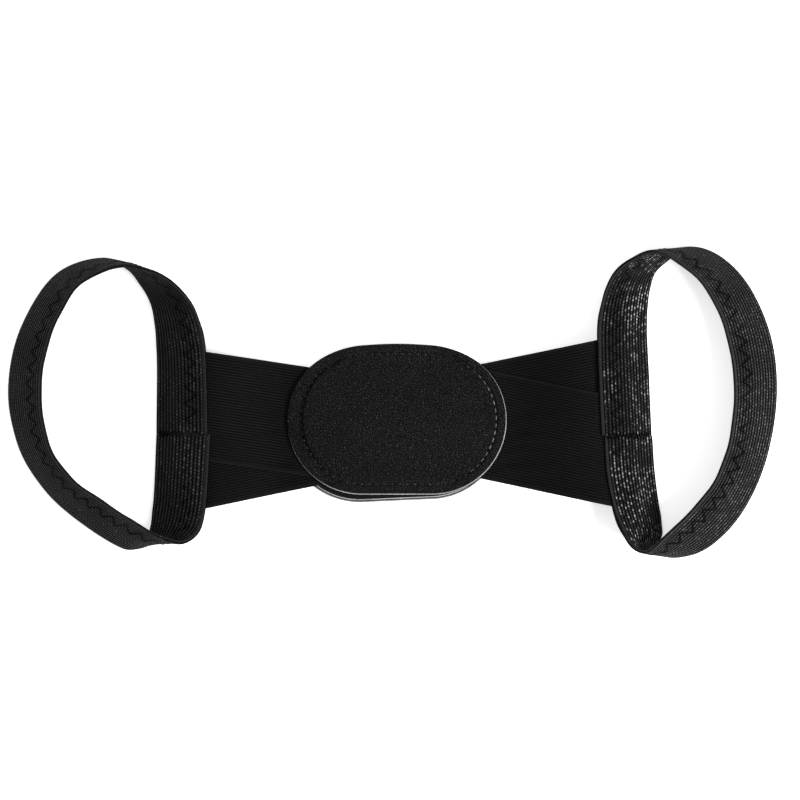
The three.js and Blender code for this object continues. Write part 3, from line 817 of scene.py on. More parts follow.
print(len(TURN), "points in a ring, the rim", round(2 * float(ring(0.0)[0].max()), 1), "mm long")

# %% [markdown]
# Inside the stitched line the leatherette is puffed up by the foam. That is a cloth simulation: a sheet
# over the stadium, held along the stitches, is pushed up by an even pressure with its weight left out, and
# is cut a little too large so that it puckers at the seam. The foam is only so thick, so the height is
# capped smoothly, which leaves a flat middle and a round shoulder. The sheet's height is then read off for
# the finer rings.

# %% Puffed middle
PUFF_ROWS = 46
PUFF_COLUMNS = 68
PUFF_FRAMES = 20
FOAM_RISE = 2.3
SEAM_RADIUS = PAD_RADIUS - SEAM_INSET


def puff_grid():
    """Square grid over the seam's stadium: rows at radius x sin(angle), each as wide as the stadium."""
    y = SEAM_RADIUS * np.sin(np.linspace(-np.pi / 2, np.pi / 2, PUFF_ROWS))[:, None]
    half = PAD_HALF_STRAIGHT + np.sqrt(np.maximum(SEAM_RADIUS**2 - y**2, 0.0))
    x = np.linspace(-1.0, 1.0, PUFF_COLUMNS)[None, :] * half
    return x, np.broadcast_to(y, x.shape)


def simulate_puff():
    """Height of the pressed-up sheet at the grid's points, in millimetres, before the cap."""
    x, y = puff_grid()
    r, c = np.meshgrid(np.arange(PUFF_ROWS - 1), np.arange(PUFF_COLUMNS - 1), indexing="ij")
    corner = r * PUFF_COLUMNS + c
    quads = np.stack([corner, corner + 1, corner + PUFF_COLUMNS + 1, corner + PUFF_COLUMNS], axis=-1)
    mesh = bpy.data.meshes.new("puff")
    points = np.stack([x, y, 0 * x], axis=-1).reshape(-1, 3) * MM
    mesh.from_pydata(points.tolist(), [], quads.reshape(-1, 4).tolist())
    sheet = bpy.data.objects.new("puff", mesh)
    bpy.context.scene.collection.objects.link(sheet)
    grid = np.arange(PUFF_ROWS * PUFF_COLUMNS).reshape(PUFF_ROWS, PUFF_COLUMNS)
    border = np.unique(np.concatenate([grid[0], grid[-1], grid[:, 0], grid[:, -1]]))
    held = sheet.vertex_groups.new(name="held")
    held.add(border.tolist(), 1.0, "REPLACE")
    cloth = sheet.modifiers.new("cloth", "CLOTH")
    settings = cloth.settings
    settings.quality = 6
    settings.mass = 0.1
    settings.tension_stiffness = 8.0
    settings.compression_stiffness = 8.0
    settings.shear_stiffness = 4.0
    settings.bending_stiffness = 0.02
    settings.use_pressure = True
    settings.uniform_pressure_force = 4.0
    settings.shrink_min = -0.02
    settings.vertex_group_mass = "held"
    settings.effector_weights.gravity = 0.0
    scene = bpy.context.scene
    for number in range(1, PUFF_FRAMES + 1):
        scene.frame_set(number)
    shaped = sheet.evaluated_get(bpy.context.evaluated_depsgraph_get()).to_mesh()
    moved = np.empty(len(shaped.vertices) * 3)
    shaped.vertices.foreach_get("co", moved)
    height = moved.reshape(PUFF_ROWS, PUFF_COLUMNS, 3)[..., 2] / MM
    scene.frame_set(1)
    bpy.data.objects.remove(sheet)
    return np.abs(height)


# %% Read the puff


def read_grid(values, x, y):
    """Value of the grid at any place inside the stadium, mixed from the four points round it."""
    inside = np.clip(y / SEAM_RADIUS, -1.0, 1.0)
    row = (np.arcsin(inside) / np.pi + 0.5) * (PUFF_ROWS - 1)
    half = PAD_HALF_STRAIGHT + SEAM_RADIUS * np.sqrt(1.0 - inside**2)
    column = np.clip(x / half * 0.5 + 0.5, 0.0, 1.0) * (PUFF_COLUMNS - 1)
    r = np.minimum(row.astype(int), PUFF_ROWS - 2)
    c = np.minimum(column.astype(int), PUFF_COLUMNS - 2)
    u, v = column - c, row - r
    low = values[r, c] * (1 - u) + values[r, c + 1] * u
    high = values[r + 1, c] * (1 - u) + values[r + 1, c + 1] * u
    return low * (1 - v) + high * v


puffed = simulate_puff()
print("puff rises", round(float(puffed.max()), 2), "mm before the cap")

# %% [markdown]
# The front piece is a lining, a thin foam and the leatherette, cut together. Seen from the side its rim
# has the lining below, the foam's pale edge, and the leatherette turned over it; the pale edge also stands
# for a painted highlight where the key light falls. One profile from the middle of the underside round the
# rim to the middle of the face gives all of it in one closed mesh. Over the bands it lies higher than at the
# top and bottom rim, where it comes down to the back piece.

# %% Underside of the front
OVER_BANDS = STACK_MIDDLE + LAYER_STEP + LAYER_GAP / 2
AT_RIM = PAD_BACK_THICKNESS + LAYER_GAP
BAND_INNER_END = 34.0
LIFT_RUN = 12.0
RIM_FLAT = 1.5
RIM_RISE = 8.5


def underside(x, inset):
    """Height of the front's underside: over the bands it lifts, and at the top and bottom rim it comes
    down to the back piece."""
    over = ease(np.abs(x), BAND_INNER_END, BAND_INNER_END + LIFT_RUN)
    inside = ease(inset, RIM_FLAT, RIM_RISE)
    return AT_RIM + (OVER_BANDS - AT_RIM) * np.maximum(over, inside)


print("over the bands the front lies at", round(OVER_BANDS, 2), "mm, at the rim at", AT_RIM, "mm")

# %% Needle holes
PAD_STITCH = 5.5


def seam_run():
    """Distance round the seam at each column of the rings."""
    x, y = seam_ring(SEAM_INSET)
    steps = np.hypot(np.diff(x, append=x[0]), np.diff(y, append=y[0]))
    run = np.concatenate([[0.0], np.cumsum(steps)])
    return run[:-1], run[-1]


SEAM_RUN, SEAM_LENGTH = seam_run()
STITCHES = round(SEAM_LENGTH / PAD_STITCH)
print(STITCHES, "stitches in", round(SEAM_LENGTH), "mm")

# %% Face of the front
RIM_THICKNESS = 1.8
RIM_ROUND = 0.7
RIM_PILLOW = 0.45
GROOVE_DEPTH = 0.80
GROOVE_WIDTH = 1.3
HOLE_DEPTH = 0.22
TOP_INSETS = np.concatenate([
    [0.35, 0.42, 0.58, 0.85], np.linspace(1.3, 5.3, 6), np.linspace(5.8, 8.8, 11),
    np.linspace(9.4, 13.0, 7), np.linspace(14.2, 24.0, 8), np.linspace(26.5, PAD_RADIUS, 12),
])


def front_top(x, y, inset):
    """Height of the front's face: rim, a small pillow outside the seam, the groove, which is deepest at
    the needle holes, and the capped puff inside it."""
    corner = np.clip(1.0 - (inset - TOP_INSETS[0]) / RIM_ROUND, 0.0, 1.0)
    rim = RIM_THICKNESS - RIM_ROUND * (1.0 - np.sqrt(1.0 - corner**2))
    pillow = RIM_PILLOW * np.sin(np.pi * np.clip(inset / SEAM_INSET, 0.0, 1.0))
    holes = 1.0 + HOLE_DEPTH * np.cos(2 * np.pi * STITCHES * SEAM_RUN / SEAM_LENGTH)
    groove = GROOVE_DEPTH * np.exp(-(((inset - SEAM_INSET) / GROOVE_WIDTH) ** 2)) * holes
    inside = inset > SEAM_INSET
    lifted = read_grid(puffed, (x - SEAM_SHIFT) / (1.0 - SEAM_SQUEEZE), y) if inside else 0.0
    puff = FOAM_RISE * np.tanh(lifted / FOAM_RISE)
    return underside(x, inset) + rim + pillow + puff - groove


# %% Pad front
FRONT_RAISED = 1.0
FRONT_PLACE = (PAD_X, PAD_Y + FRONT_RAISED, 0.0)
MERGE_DISTANCE = 1e-6
UNDER_INSETS = (PAD_RADIUS, 30.0, 14.0, RIM_RISE, 5.0, RIM_FLAT)
# The front's plies are shifted right and down, so their pale edge shows only on the right and below, where the
# key light falls, and there it stands partly for a painted highlight.
PLY_SHIFT = (0.28, -0.45)
PLY_PROFILE = np.array([
    [0.40, 0.00, 0], [-0.15, 0.05, 0], [-0.25, 0.18, 0], [-0.20, 0.27, 0], [0.08, 0.31, 0],
    [0.13, 0.36, 1], [0.30, 0.58, 1], [0.80, 0.62, 0],
])
TURNED_OVER = ((0.85, 0.68), (0.52, 0.76), (0.37, 0.96))


def make_front():
    """Rings from the middle of the underside out to the rim, over the lining and the foam's pale edge, and
    over the face. A ply's row is inset, height, and 1 where the face up to the next row is pale. The
    leatherette's turned edge has rows of inset and height."""
    rings = []
    for inset in UNDER_INSETS:
        x, y = ring(inset)
        rings.append(np.column_stack([x, y, underside(x, inset)]))
    for inset, level in PLY_PROFILE[:, :2]:
        x, y = ring(inset, *PLY_SHIFT)
        rings.append(np.column_stack([x, y, underside(x, 0.0) + level]))
    for inset, level in TURNED_OVER:
        x, y = ring(inset)
        rings.append(np.column_stack([x, y, underside(x, 0.0) + level]))
    for inset in TOP_INSETS:
        x, y = seam_ring(inset)
        rings.append(np.column_stack([x, y, front_top(x, y, inset)]))
    points = np.stack(rings)
    piece = make_mesh("pad_front_cover", points + FRONT_PLACE, grid_faces(*points.shape[:2]))
    pale_rows = len(UNDER_INSETS) + np.flatnonzero(PLY_PROFILE[:, 2])
    mark_rows(piece, points.shape[1], pale_rows)
    return close_poles(piece)


def mark_rows(piece, columns, rows):
    """Gives the faces of some rows of the grid the piece's second material."""
    row = np.arange(len(piece.data.polygons)) // columns
    piece.data.polygons.foreach_set("material_index", np.isin(row, rows).astype(np.int32))


def close_poles(piece):
    """Merges the points that meet on the middle line, which closes the mesh."""
    work = bmesh.new()
    work.from_mesh(piece.data)
    bmesh.ops.remove_doubles(work, verts=work.verts, dist=MERGE_DISTANCE)
    work.to_mesh(piece.data)
    open_edges = sum(not edge.is_manifold for edge in work.edges)
    work.free()
    print(piece.name, "open edges:", open_edges)
    return piece


pad_front = make_front()

# %% [markdown]
# The back piece is three plies, each a little smaller than the one under it, sewn on a little askew, so
# their cut edges show as thin steps along the lower left. They could be three meshes, but the inner ones
# would be hidden, so they are one profile too, turned and shifted as a whole.

# %% Pad back
BACK_SHIFT = (-1.5, -4.0)
BACK_TURN = np.radians(2.5)
BACK_PROFILE = np.array([
    [PAD_RADIUS, 0.00, 0], [20.0, 0.00, 0], [0.90, 0.00, 0], [0.25, 0.12, 0],
    [0.00, 0.30, 0], [0.00, 0.50, 1], [0.25, 0.64, 1], [0.80, 0.70, 0], [1.40, 0.72, 0],
    [1.90, 0.76, 0], [1.65, 0.85, 0], [1.60, 1.12, 1], [1.85, 1.26, 1], [2.35, 1.30, 0],
    [3.00, 1.32, 0], [3.45, 1.36, 0], [3.20, 1.46, 0], [3.20, 1.72, 0], [3.50, 1.93, 0],
    [4.20, 2.00, 0], [7.00, 2.00, 0], [20.0, 2.00, 0], [PAD_RADIUS, 2.00, 0],
])


def make_back():
    """Rings of three plies, each a little smaller than the one under it, turned and shifted as sewn. A
    profile's row is inset, height, and 1 where the face up to the next row is a ply's cut edge."""
    rings = []
    for inset, level in BACK_PROFILE[:, :2]:
        x, y = ring(inset)
        turned_x = x * np.cos(BACK_TURN) - y * np.sin(BACK_TURN) + BACK_SHIFT[0]
        turned_y = x * np.sin(BACK_TURN) + y * np.cos(BACK_TURN) + BACK_SHIFT[1]
        rings.append(np.column_stack([turned_x, turned_y, np.full_like(x, level)]))
    points = np.stack(rings)
    piece = make_mesh("pad_back_cover", points + (PAD_X, PAD_Y, 0.0), grid_faces(*points.shape[:2]))
    mark_rows(piece, points.shape[1], np.flatnonzero(BACK_PROFILE[:, 2]))
    return close_poles(piece)


pad_back = make_back()

# %% [markdown]
# The stitches lie in the groove, one from each needle hole to the next. A stitch that is pulled tight sinks
# into the foam and hardly shows, and where it is looser the thread stands proud and catches the light.

# %% Pad stitches
PAD_THREAD_RADIUS = 0.42
PAD_THREAD_LIFT = 0.35
HOLE_GAP = 0.95
SUNK = 0.28
PROUD = 0.35
PROUD_FROM = 44.0
PROUD_FULL = 66.0


def sew_pad():
    """Stitches in the groove, a needle hole apart, each with a short gap to the next. On the right the
    thread stands proud and catches the light; elsewhere it has sunk into the foam."""
    hole = np.arange(STITCHES) / STITCHES * SEAM_LENGTH
    wrapped = np.append(SEAM_RUN, SEAM_LENGTH)
    x, y = seam_ring(SEAM_INSET)
    z = front_top(x, y, SEAM_INSET)
    ends = [
        np.column_stack([np.interp(run, wrapped, np.append(v, v[0])) for v in (x, y, z)])
        for run in (hole + HOLE_GAP, hole + SEAM_LENGTH / STITCHES - HOLE_GAP)
    ]
    up = np.tile((0.0, 0.0, 1.0), (STITCHES, 1))
    sink = SUNK - (SUNK + PROUD) * ease(ends[0][:, 0], PROUD_FROM, PROUD_FULL)
    start, end = (points + FRONT_PLACE for points in ends)
    return make_stitches("pad_seam", start, end, up, PAD_THREAD_RADIUS, PAD_THREAD_LIFT, sink)


pad_seam = sew_pad()

# %% [markdown]
# ## Finishes
# All of it is black, so what tells the pieces apart is relief and gloss more than colour: deep matt ribs on
# the bands, knitted loops that catch the light on the straps, helped by painted highlights and glints in
# their colour, a fine pebble on the pad, and pale cut edges of the plies, partly a painted highlight.
# Effects that more than one material needs are node groups with named inputs and outputs.

# %% Node helpers


def new_group(name, inputs, outputs):
    """Empty shader group with its sockets. Returns the tree, the sockets that bring its inputs, and those
    that take its outputs."""
    tree = bpy.data.node_groups.new(name, "ShaderNodeTree")
    for label, kind, value in inputs:
        socket = tree.interface.new_socket(label, in_out="INPUT", socket_type="NodeSocket" + kind)
        if value is not None:
            socket.default_value = value
    for label, kind in outputs:
        tree.interface.new_socket(label, in_out="OUTPUT", socket_type="NodeSocket" + kind)
    entry = tree.nodes.new("NodeGroupInput")
    leave = tree.nodes.new("NodeGroupOutput")
    return tree, entry.outputs, leave.inputs


def feed(tree, socket, value):
    """Links a socket to the input, or sets it to a number."""
    if isinstance(value, bpy.types.NodeSocket):
        tree.links.new(value, socket)
    else:
        socket.default_value = value


def calc(tree, operation, *values):
    """A math node's result."""
    node = tree.nodes.new("ShaderNodeMath")
    node.operation = operation
    for socket, value in zip(node.inputs, values):
        feed(tree, socket, value)
    return node.outputs[0]


# %% Texture and colour helpers


def noise(tree, vector, scale, detail=2.0, roughness=0.5):
    """A noise texture's value, from 0 to 1."""
    node = tree.nodes.new("ShaderNodeTexNoise")
    feed(tree, node.inputs["Vector"], vector)
    feed(tree, node.inputs["Scale"], scale)
    node.inputs["Detail"].default_value = detail
    node.inputs["Roughness"].default_value = roughness
    return node.outputs["Fac"]


def remap(tree, value, low, high, new_low, new_high):
    """Straight line from low..high to new_low..new_high, held at its ends."""
    node = tree.nodes.new("ShaderNodeMapRange")
    for key, number in (("From Min", low), ("From Max", high), ("To Min", new_low), ("To Max", new_high)):
        feed(tree, node.inputs[key], number)
    feed(tree, node.inputs["Value"], value)
    return node.outputs["Result"]


def blend_colours(tree, share, first, second):
    """first where share is 0 and second where it is 1."""
    node = tree.nodes.new("ShaderNodeMix")
    node.data_type = "RGBA"
    feed(tree, node.inputs["Factor"], share)
    feed(tree, node.inputs["A"], first)
    feed(tree, node.inputs["B"], second)
    return node.outputs["Result"]


def place_group(tree, group, **values):
    """The group as a node in a material, with its own values. Returns its outputs."""
    node = tree.nodes.new("ShaderNodeGroup")
    node.node_tree = group
    for label, value in values.items():
        feed(tree, node.inputs[label.replace("_", " ")], value)
    return node.outputs


# %% [markdown]
# ### Knitted ribs
# Each rib is a chain of knitted loops. In the rib's own coordinates a loop is a bump: half a sine across
# the rib times half a sine along it, bent into a V, and each rib's chain starts at a place of its own. Fine
# strands run slantwise over the bumps. Some loops, drawn by chance, get a painted glint, a pale dash as if
# they caught the light. Past the first and last rib lies the selvedge, which has strands but no loops.

# %% Knit group
NEXT_RIB_SHIFT = 0.5
CHANCE_SHIFT = 0.35
LOOP_ALONG_POWER = 0.5
LOOP_ACROSS_POWER = 1.9
STRAND_ALONG = 14.0
STRAND_ACROSS = 16.0
STRAND_HEIGHT = 0.18
CHOSEN_FROM = 0.50
DASH_POWER = 9.0


def build_knit():
    """Height = sin(pi x place in the loop)^a x sin(pi x place across the rib)^b, plus the strands' height
    x (1 + sin(slant)) / 2. Loop is the first part alone, Spark its narrow middle in the chosen loops, which
    marks where glints are painted, and Selvedge is 1 where there are no ribs."""
    tree, entry, leave = new_group(
        "knitted ribs",
        [("Cloth", "Vector", None), ("Rib Count", "Float", 14.0), ("Loop Length", "Float", 2.4),
         ("Chevron", "Float", 0.5)],
        [("Height", "Float"), ("Loop", "Float"), ("Spark", "Float"), ("Selvedge", "Float")],
    )
    split = tree.nodes.new("ShaderNodeSeparateXYZ")
    tree.links.new(entry["Cloth"], split.inputs[0])
    ribs, run = split.outputs["X"], split.outputs["Y"]
    phase = calc(tree, "FRACT", ribs)
    index = calc(tree, "FLOOR", ribs)
    white = tree.nodes.new("ShaderNodeTexWhiteNoise")
    white.noise_dimensions = "1D"
    tree.links.new(index, white.inputs["W"])
    from_middle = calc(tree, "ABSOLUTE", calc(tree, "SUBTRACT", phase, 0.5))
    chain = calc(tree, "DIVIDE", run, entry["Loop Length"])
    chain = calc(tree, "ADD", chain, calc(tree, "MULTIPLY", index, NEXT_RIB_SHIFT))
    chain = calc(tree, "ADD", chain, calc(tree, "MULTIPLY", white.outputs["Value"], CHANCE_SHIFT))
    chain = calc(tree, "ADD", chain, calc(tree, "MULTIPLY", from_middle, entry["Chevron"]))
    along = calc(tree, "SINE", calc(tree, "MULTIPLY", calc(tree, "FRACT", chain), np.pi))
    over = calc(tree, "SINE", calc(tree, "MULTIPLY", phase, np.pi))
    bump = calc(tree, "MULTIPLY", calc(tree, "POWER", along, LOOP_ALONG_POWER),
                calc(tree, "POWER", over, LOOP_ACROSS_POWER))
    slant = calc(tree, "ADD", calc(tree, "MULTIPLY", run, STRAND_ALONG),
                 calc(tree, "MULTIPLY", phase, STRAND_ACROSS))
    strand = calc(tree, "MULTIPLY", calc(tree, "ADD", calc(tree, "SINE", slant), 1.0), 0.5)
    inside = calc(tree, "MULTIPLY", calc(tree, "GREATER_THAN", ribs, 0.0),
                  calc(tree, "LESS_THAN", ribs, entry["Rib Count"]))
    knitted = calc(tree, "MULTIPLY", bump, inside)
    height = calc(tree, "ADD", knitted, calc(tree, "MULTIPLY", strand, STRAND_HEIGHT))
    feed(tree, leave["Height"], height)
    feed(tree, leave["Loop"], knitted)
    feed(tree, leave["Selvedge"], calc(tree, "SUBTRACT", 1.0, inside))
    cell = tree.nodes.new("ShaderNodeCombineXYZ")
    tree.links.new(index, cell.inputs["X"])
    tree.links.new(calc(tree, "FLOOR", chain), cell.inputs["Y"])
    draw = tree.nodes.new("ShaderNodeTexWhiteNoise")
    draw.noise_dimensions = "2D"
    tree.links.new(cell.outputs[0], draw.inputs["Vector"])
    chosen = remap(tree, draw.outputs["Value"], CHOSEN_FROM, 1.0, 0.0, 1.0)
    narrow = calc(tree, "POWER", over, DASH_POWER)
    dash = calc(tree, "MULTIPLY", calc(tree, "MULTIPLY", along, inside), narrow)
    feed(tree, leave["Spark"], calc(tree, "MULTIPLY", chosen, dash))
    return tree


KNIT = build_knit()
print(KNIT.name, len(KNIT.nodes), "nodes")

# %% [markdown]
# ### Cloth tone
# Dyed cloth isn't one black. Broad noise gives slow differences of tone, and a much finer one, cut off
# high, gives the few pale specks of lint that black elastic gathers.

# %% Tone group
LINT_SCALE = 900.0
LINT_CUT = (0.74, 0.80)
NOISE_USED = (0.3, 0.7)
TONE_SPAN = (0.75, 1.25)
LIGHT_PATCHES = (1.02, 1.20)


def build_tone():
    """Tone = broad noise stretched to the span about 1. Lint = fine noise above its cut, times its share."""
    tree, entry, leave = new_group(
        "cloth tone",
        [("Object", "Vector", None), ("Patch Scale", "Float", 30.0), ("Lint", "Float", 0.5)],
        [("Tone", "Float"), ("Lint", "Float")],
    )
    patches = noise(tree, entry["Object"], entry["Patch Scale"], detail=3.0)
    specks = noise(tree, entry["Object"], LINT_SCALE, detail=1.0)
    lint = calc(tree, "MULTIPLY", remap(tree, specks, *LINT_CUT, 0.0, 1.0), entry["Lint"])
    feed(tree, leave["Tone"], remap(tree, patches, *NOISE_USED, *TONE_SPAN))
    feed(tree, leave["Lint"], lint)
    return tree


TONE = build_tone()
print(TONE.name, len(TONE.nodes), "nodes")

# %% [markdown]
# ### Leather grain
# Leatherette is embossed with small pebbles: rounded cells parted by creases. A Voronoi texture's distance
# to the nearest cell border gives the creases, and noise bends it so that the cells aren't all alike.

# %% Grain group
BEND_SCALE = 500.0
BEND_BY = 0.0009
PEBBLE_ROUND = 0.35
SWELL_SCALE = 260.0
SWELL_SHARE = 0.8
CREASE_SPAN = (0.02, 0.28)


def build_grain():
    """Height = the square root of the distance to the nearest crease over the pebble's round, at most 1,
    plus a slow swell. Crease is 1 at the crease and 0 past its span."""
    tree, entry, leave = new_group(
        "leather grain",
        [("Object", "Vector", None), ("Pebble Scale", "Float", 900.0)],
        [("Height", "Float"), ("Crease", "Float")],
    )
    bend = tree.nodes.new("ShaderNodeTexNoise")
    tree.links.new(entry["Object"], bend.inputs["Vector"])
    bend.inputs["Scale"].default_value = BEND_SCALE
    shifted = tree.nodes.new("ShaderNodeVectorMath")
    shifted.operation = "MULTIPLY_ADD"
    tree.links.new(bend.outputs["Color"], shifted.inputs[0])
    shifted.inputs[1].default_value = (BEND_BY,) * 3
    tree.links.new(entry["Object"], shifted.inputs[2])
    cells = tree.nodes.new("ShaderNodeTexVoronoi")
    cells.feature = "DISTANCE_TO_EDGE"
    tree.links.new(shifted.outputs[0], cells.inputs["Vector"])
    tree.links.new(entry["Pebble Scale"], cells.inputs["Scale"])
    pebble = remap(tree, cells.outputs["Distance"], 0.0, PEBBLE_ROUND, 0.0, 1.0)
    swell = calc(tree, "MULTIPLY", noise(tree, entry["Object"], SWELL_SCALE), SWELL_SHARE)
    feed(tree, leave["Height"], calc(tree, "ADD", calc(tree, "POWER", pebble, 0.5), swell))
    feed(tree, leave["Crease"], remap(tree, cells.outputs["Distance"], *CREASE_SPAN, 1.0, 0.0))
    return tree


GRAIN = build_grain()
print(GRAIN.name, len(GRAIN.nodes), "nodes")

# %% [markdown]
# ### The pressed zigzag
# Tight stitches sink into elastic and leave a furrow along their line, which is dented in the bump and
# painted dark in the base colour as painted shade. The furrow follows the same triangle wave as the
# stitches: with p the distance along over the pitch, the line is at centre + half x (4 |p - round(p)| - 1),
# and the depth fades with the distance from it. The outer face counts its ribs from the other edge, so the
# smaller of the two rib coordinates is taken.

# %% Furrow group
FURROW_FLOOR = 0.6


def build_furrow():
    """Furrow is 1 from the zigzag's line to a share of the width, and falls to 0 at the whole width."""
    tree, entry, leave = new_group(
        "zigzag furrow",
        [("Cloth", "Vector", None), ("Rib Count", "Float", 30.0), ("Pitch", "Float", 11.8),
         ("Start", "Float", 0.0), ("Centre", "Float", 3.4), ("Half", "Float", 1.7), ("Width", "Float", 0.4)],
        [("Furrow", "Float")],
    )
    split = tree.nodes.new("ShaderNodeSeparateXYZ")
    tree.links.new(entry["Cloth"], split.inputs[0])
    near = calc(tree, "MINIMUM", split.outputs["X"],
                calc(tree, "SUBTRACT", entry["Rib Count"], split.outputs["X"]))
    place_along = calc(tree, "DIVIDE", calc(tree, "SUBTRACT", split.outputs["Y"], entry["Start"]),
                       entry["Pitch"])
    from_turn = calc(tree, "ABSOLUTE", calc(tree, "SUBTRACT", place_along, calc(tree, "ROUND", place_along)))
    wave = calc(tree, "SUBTRACT", calc(tree, "MULTIPLY", from_turn, 4.0), 1.0)
    line = calc(tree, "ADD", entry["Centre"], calc(tree, "MULTIPLY", entry["Half"], wave))
    away = calc(tree, "ABSOLUTE", calc(tree, "SUBTRACT", near, line))
    share = calc(tree, "DIVIDE", away, entry["Width"])
    feed(tree, leave["Furrow"], remap(tree, share, FURROW_FLOOR, 1.0, 1.0, 0.0))
    return tree


FURROW = build_furrow()
print(FURROW.name, len(FURROW.nodes), "nodes")

# %% [markdown]
# ### Materials
# Every material is one Principled shader. What is the same all over a piece, such as the specular level, is
# set on the shader itself, and only what changes from place to place comes from nodes.

# %% Material helpers


def grey(level):
    """A neutral colour."""
    return (level, level, level, 1.0)


def new_material(name, roughness, specular, sheen=0.0):
    """A Principled material whose constant values stay on its own sockets."""
    material = bpy.data.materials.new(name)
    material.use_nodes = True
    tree = material.node_tree
    shader = tree.nodes["Principled BSDF"]
    shader.inputs["Roughness"].default_value = roughness
    shader.inputs["Specular IOR Level"].default_value = specular
    shader.inputs["Sheen Weight"].default_value = sheen
    return material, tree, shader


def coordinates(tree, kind="Object"):
    """Object coordinates, in metres, or the piece's own cloth coordinates."""
    if kind == "Object":
        return tree.nodes.new("ShaderNodeTexCoord").outputs["Object"]
    node = tree.nodes.new("ShaderNodeUVMap")
    node.uv_map = "cloth"
    return node.outputs["UV"]


def add_bump(tree, shader, height, distance):
    """Relief from a height, in metres, on the shader's normal."""
    node = tree.nodes.new("ShaderNodeBump")
    node.inputs["Distance"].default_value = distance
    tree.links.new(height, node.inputs["Height"])
    tree.links.new(node.outputs["Normal"], shader.inputs["Normal"])


# %% [markdown]
# Black elastic seen close is nearly black between its loops and dark grey on top of them, where light
# grazes the yarn. Both are painted into the base colour: painted shade between the loops, and a painted
# highlight on their tops and on the selvedge. The straps' inner and outer face catch the light differently,
# so some values change from one half of the ribs to the other, and the straps' inner face is painted
# darker. The bands are a flatter knit: their loops are shorter and lower, and their black is duller.

# %% Elastic
TOP_POWER = 2.2
SELVEDGE_HIGHLIGHT = 0.55
SPARK_PATCHES = (0.85, 1.15, 0.05, 1.0)
FURROW_BY_FACE = (0.4, 1.0)
FURROW_LEFT = 0.35
SHADE_BY_FACE = (0.75, 1.0)
GROOVE_ROUGHER = 0.1
TOP_SMOOTHER = 0.2


def elastic(name, colours, sparkle, knit_values, tone_values, relief, roughness, specular,
            furrow_values=None):
    """Knitted elastic: painted shade between its loops and a painted highlight on top of them and on the
    selvedge, with specks of lint and painted glints on the loops drawn by chance, both in the pale colour.
    sparkle is how strong those painted glints are on the first half of the ribs and on the second half.
    The furrow is dented in the bump and painted dark as painted shade, and is less deep in the cloth's
    lighter patches."""
    material, tree, shader = new_material(name, roughness, specular)
    cloth = coordinates(tree, "Cloth")
    knit = place_group(tree, KNIT, Cloth=cloth, **knit_values)
    tone = place_group(tree, TONE, Object=coordinates(tree), **tone_values)
    split = tree.nodes.new("ShaderNodeSeparateXYZ")
    tree.links.new(cloth, split.inputs[0])
    middle_rib = knit_values["Rib_Count"] / 2

    def by_face(first, second):
        """One value on the first half of the ribs and another on the second half."""
        return remap(tree, split.outputs["X"], middle_rib - 0.5, middle_rib + 0.5, first, second)

    # Painted highlight on the loops' tops and on the selvedge; what stays dark between them is painted shade.
    lit = calc(tree, "MULTIPLY", calc(tree, "POWER", knit["Loop"], TOP_POWER), tone["Tone"])
    lit = calc(tree, "ADD", lit, calc(tree, "MULTIPLY", knit["Selvedge"], SELVEDGE_HIGHLIGHT))
    height = knit["Height"]
    # Painted glints on some loops, set for each face, and stronger in the cloth's lighter patches.
    patch = calc(tree, "MULTIPLY", by_face(*sparkle), remap(tree, tone["Tone"], *SPARK_PATCHES))
    spark = calc(tree, "MULTIPLY", knit["Spark"], patch)
    # The furrow darkens the base colour as painted shade as well as denting the bump, and the strap's inner
    # face is painted darker.
    if furrow_values:
        furrow = place_group(tree, FURROW, Cloth=cloth, **furrow_values)["Furrow"]
        filled = remap(tree, tone["Tone"], *LIGHT_PATCHES, 1.0, FURROW_LEFT)
        furrow = calc(tree, "MULTIPLY", furrow, calc(tree, "MULTIPLY", by_face(*FURROW_BY_FACE), filled))
        clear = calc(tree, "SUBTRACT", 1.0, furrow)
        lit = calc(tree, "MULTIPLY", calc(tree, "MULTIPLY", lit, by_face(*SHADE_BY_FACE)), clear)
        spark = calc(tree, "MULTIPLY", spark, clear)
        height = calc(tree, "SUBTRACT", height, furrow)
    # deep is the painted shade between the loops, top the painted highlight on them, and lint the pale colour
    # of both real lint specks and painted glints.
    deep, top, lint = colours
    base = blend_colours(tree, calc(tree, "MINIMUM", lit, 1.0), deep, top)
    base = blend_colours(tree, calc(tree, "MAXIMUM", tone["Lint"], spark), base, lint)
    tree.links.new(base, shader.inputs["Base Color"])
    smoother = calc(tree, "MULTIPLY", knit["Loop"], TOP_SMOOTHER)
    gloss = calc(tree, "SUBTRACT", roughness + GROOVE_ROUGHER, smoother)
    tree.links.new(gloss, shader.inputs["Roughness"])
    add_bump(tree, shader, height, relief)
    print(name, len(tree.nodes), "nodes")
    return material


RIB_PITCH = (STRAP_WIDTH - FOLD_RADIUS - SELVEDGE) / LAYER_RIBS
ALL_RIBS = float(2 * LAYER_RIBS + FOLD_RIBS)
STRAP_PATCHES = 32.0
FURROW_WIDTH = 1.7
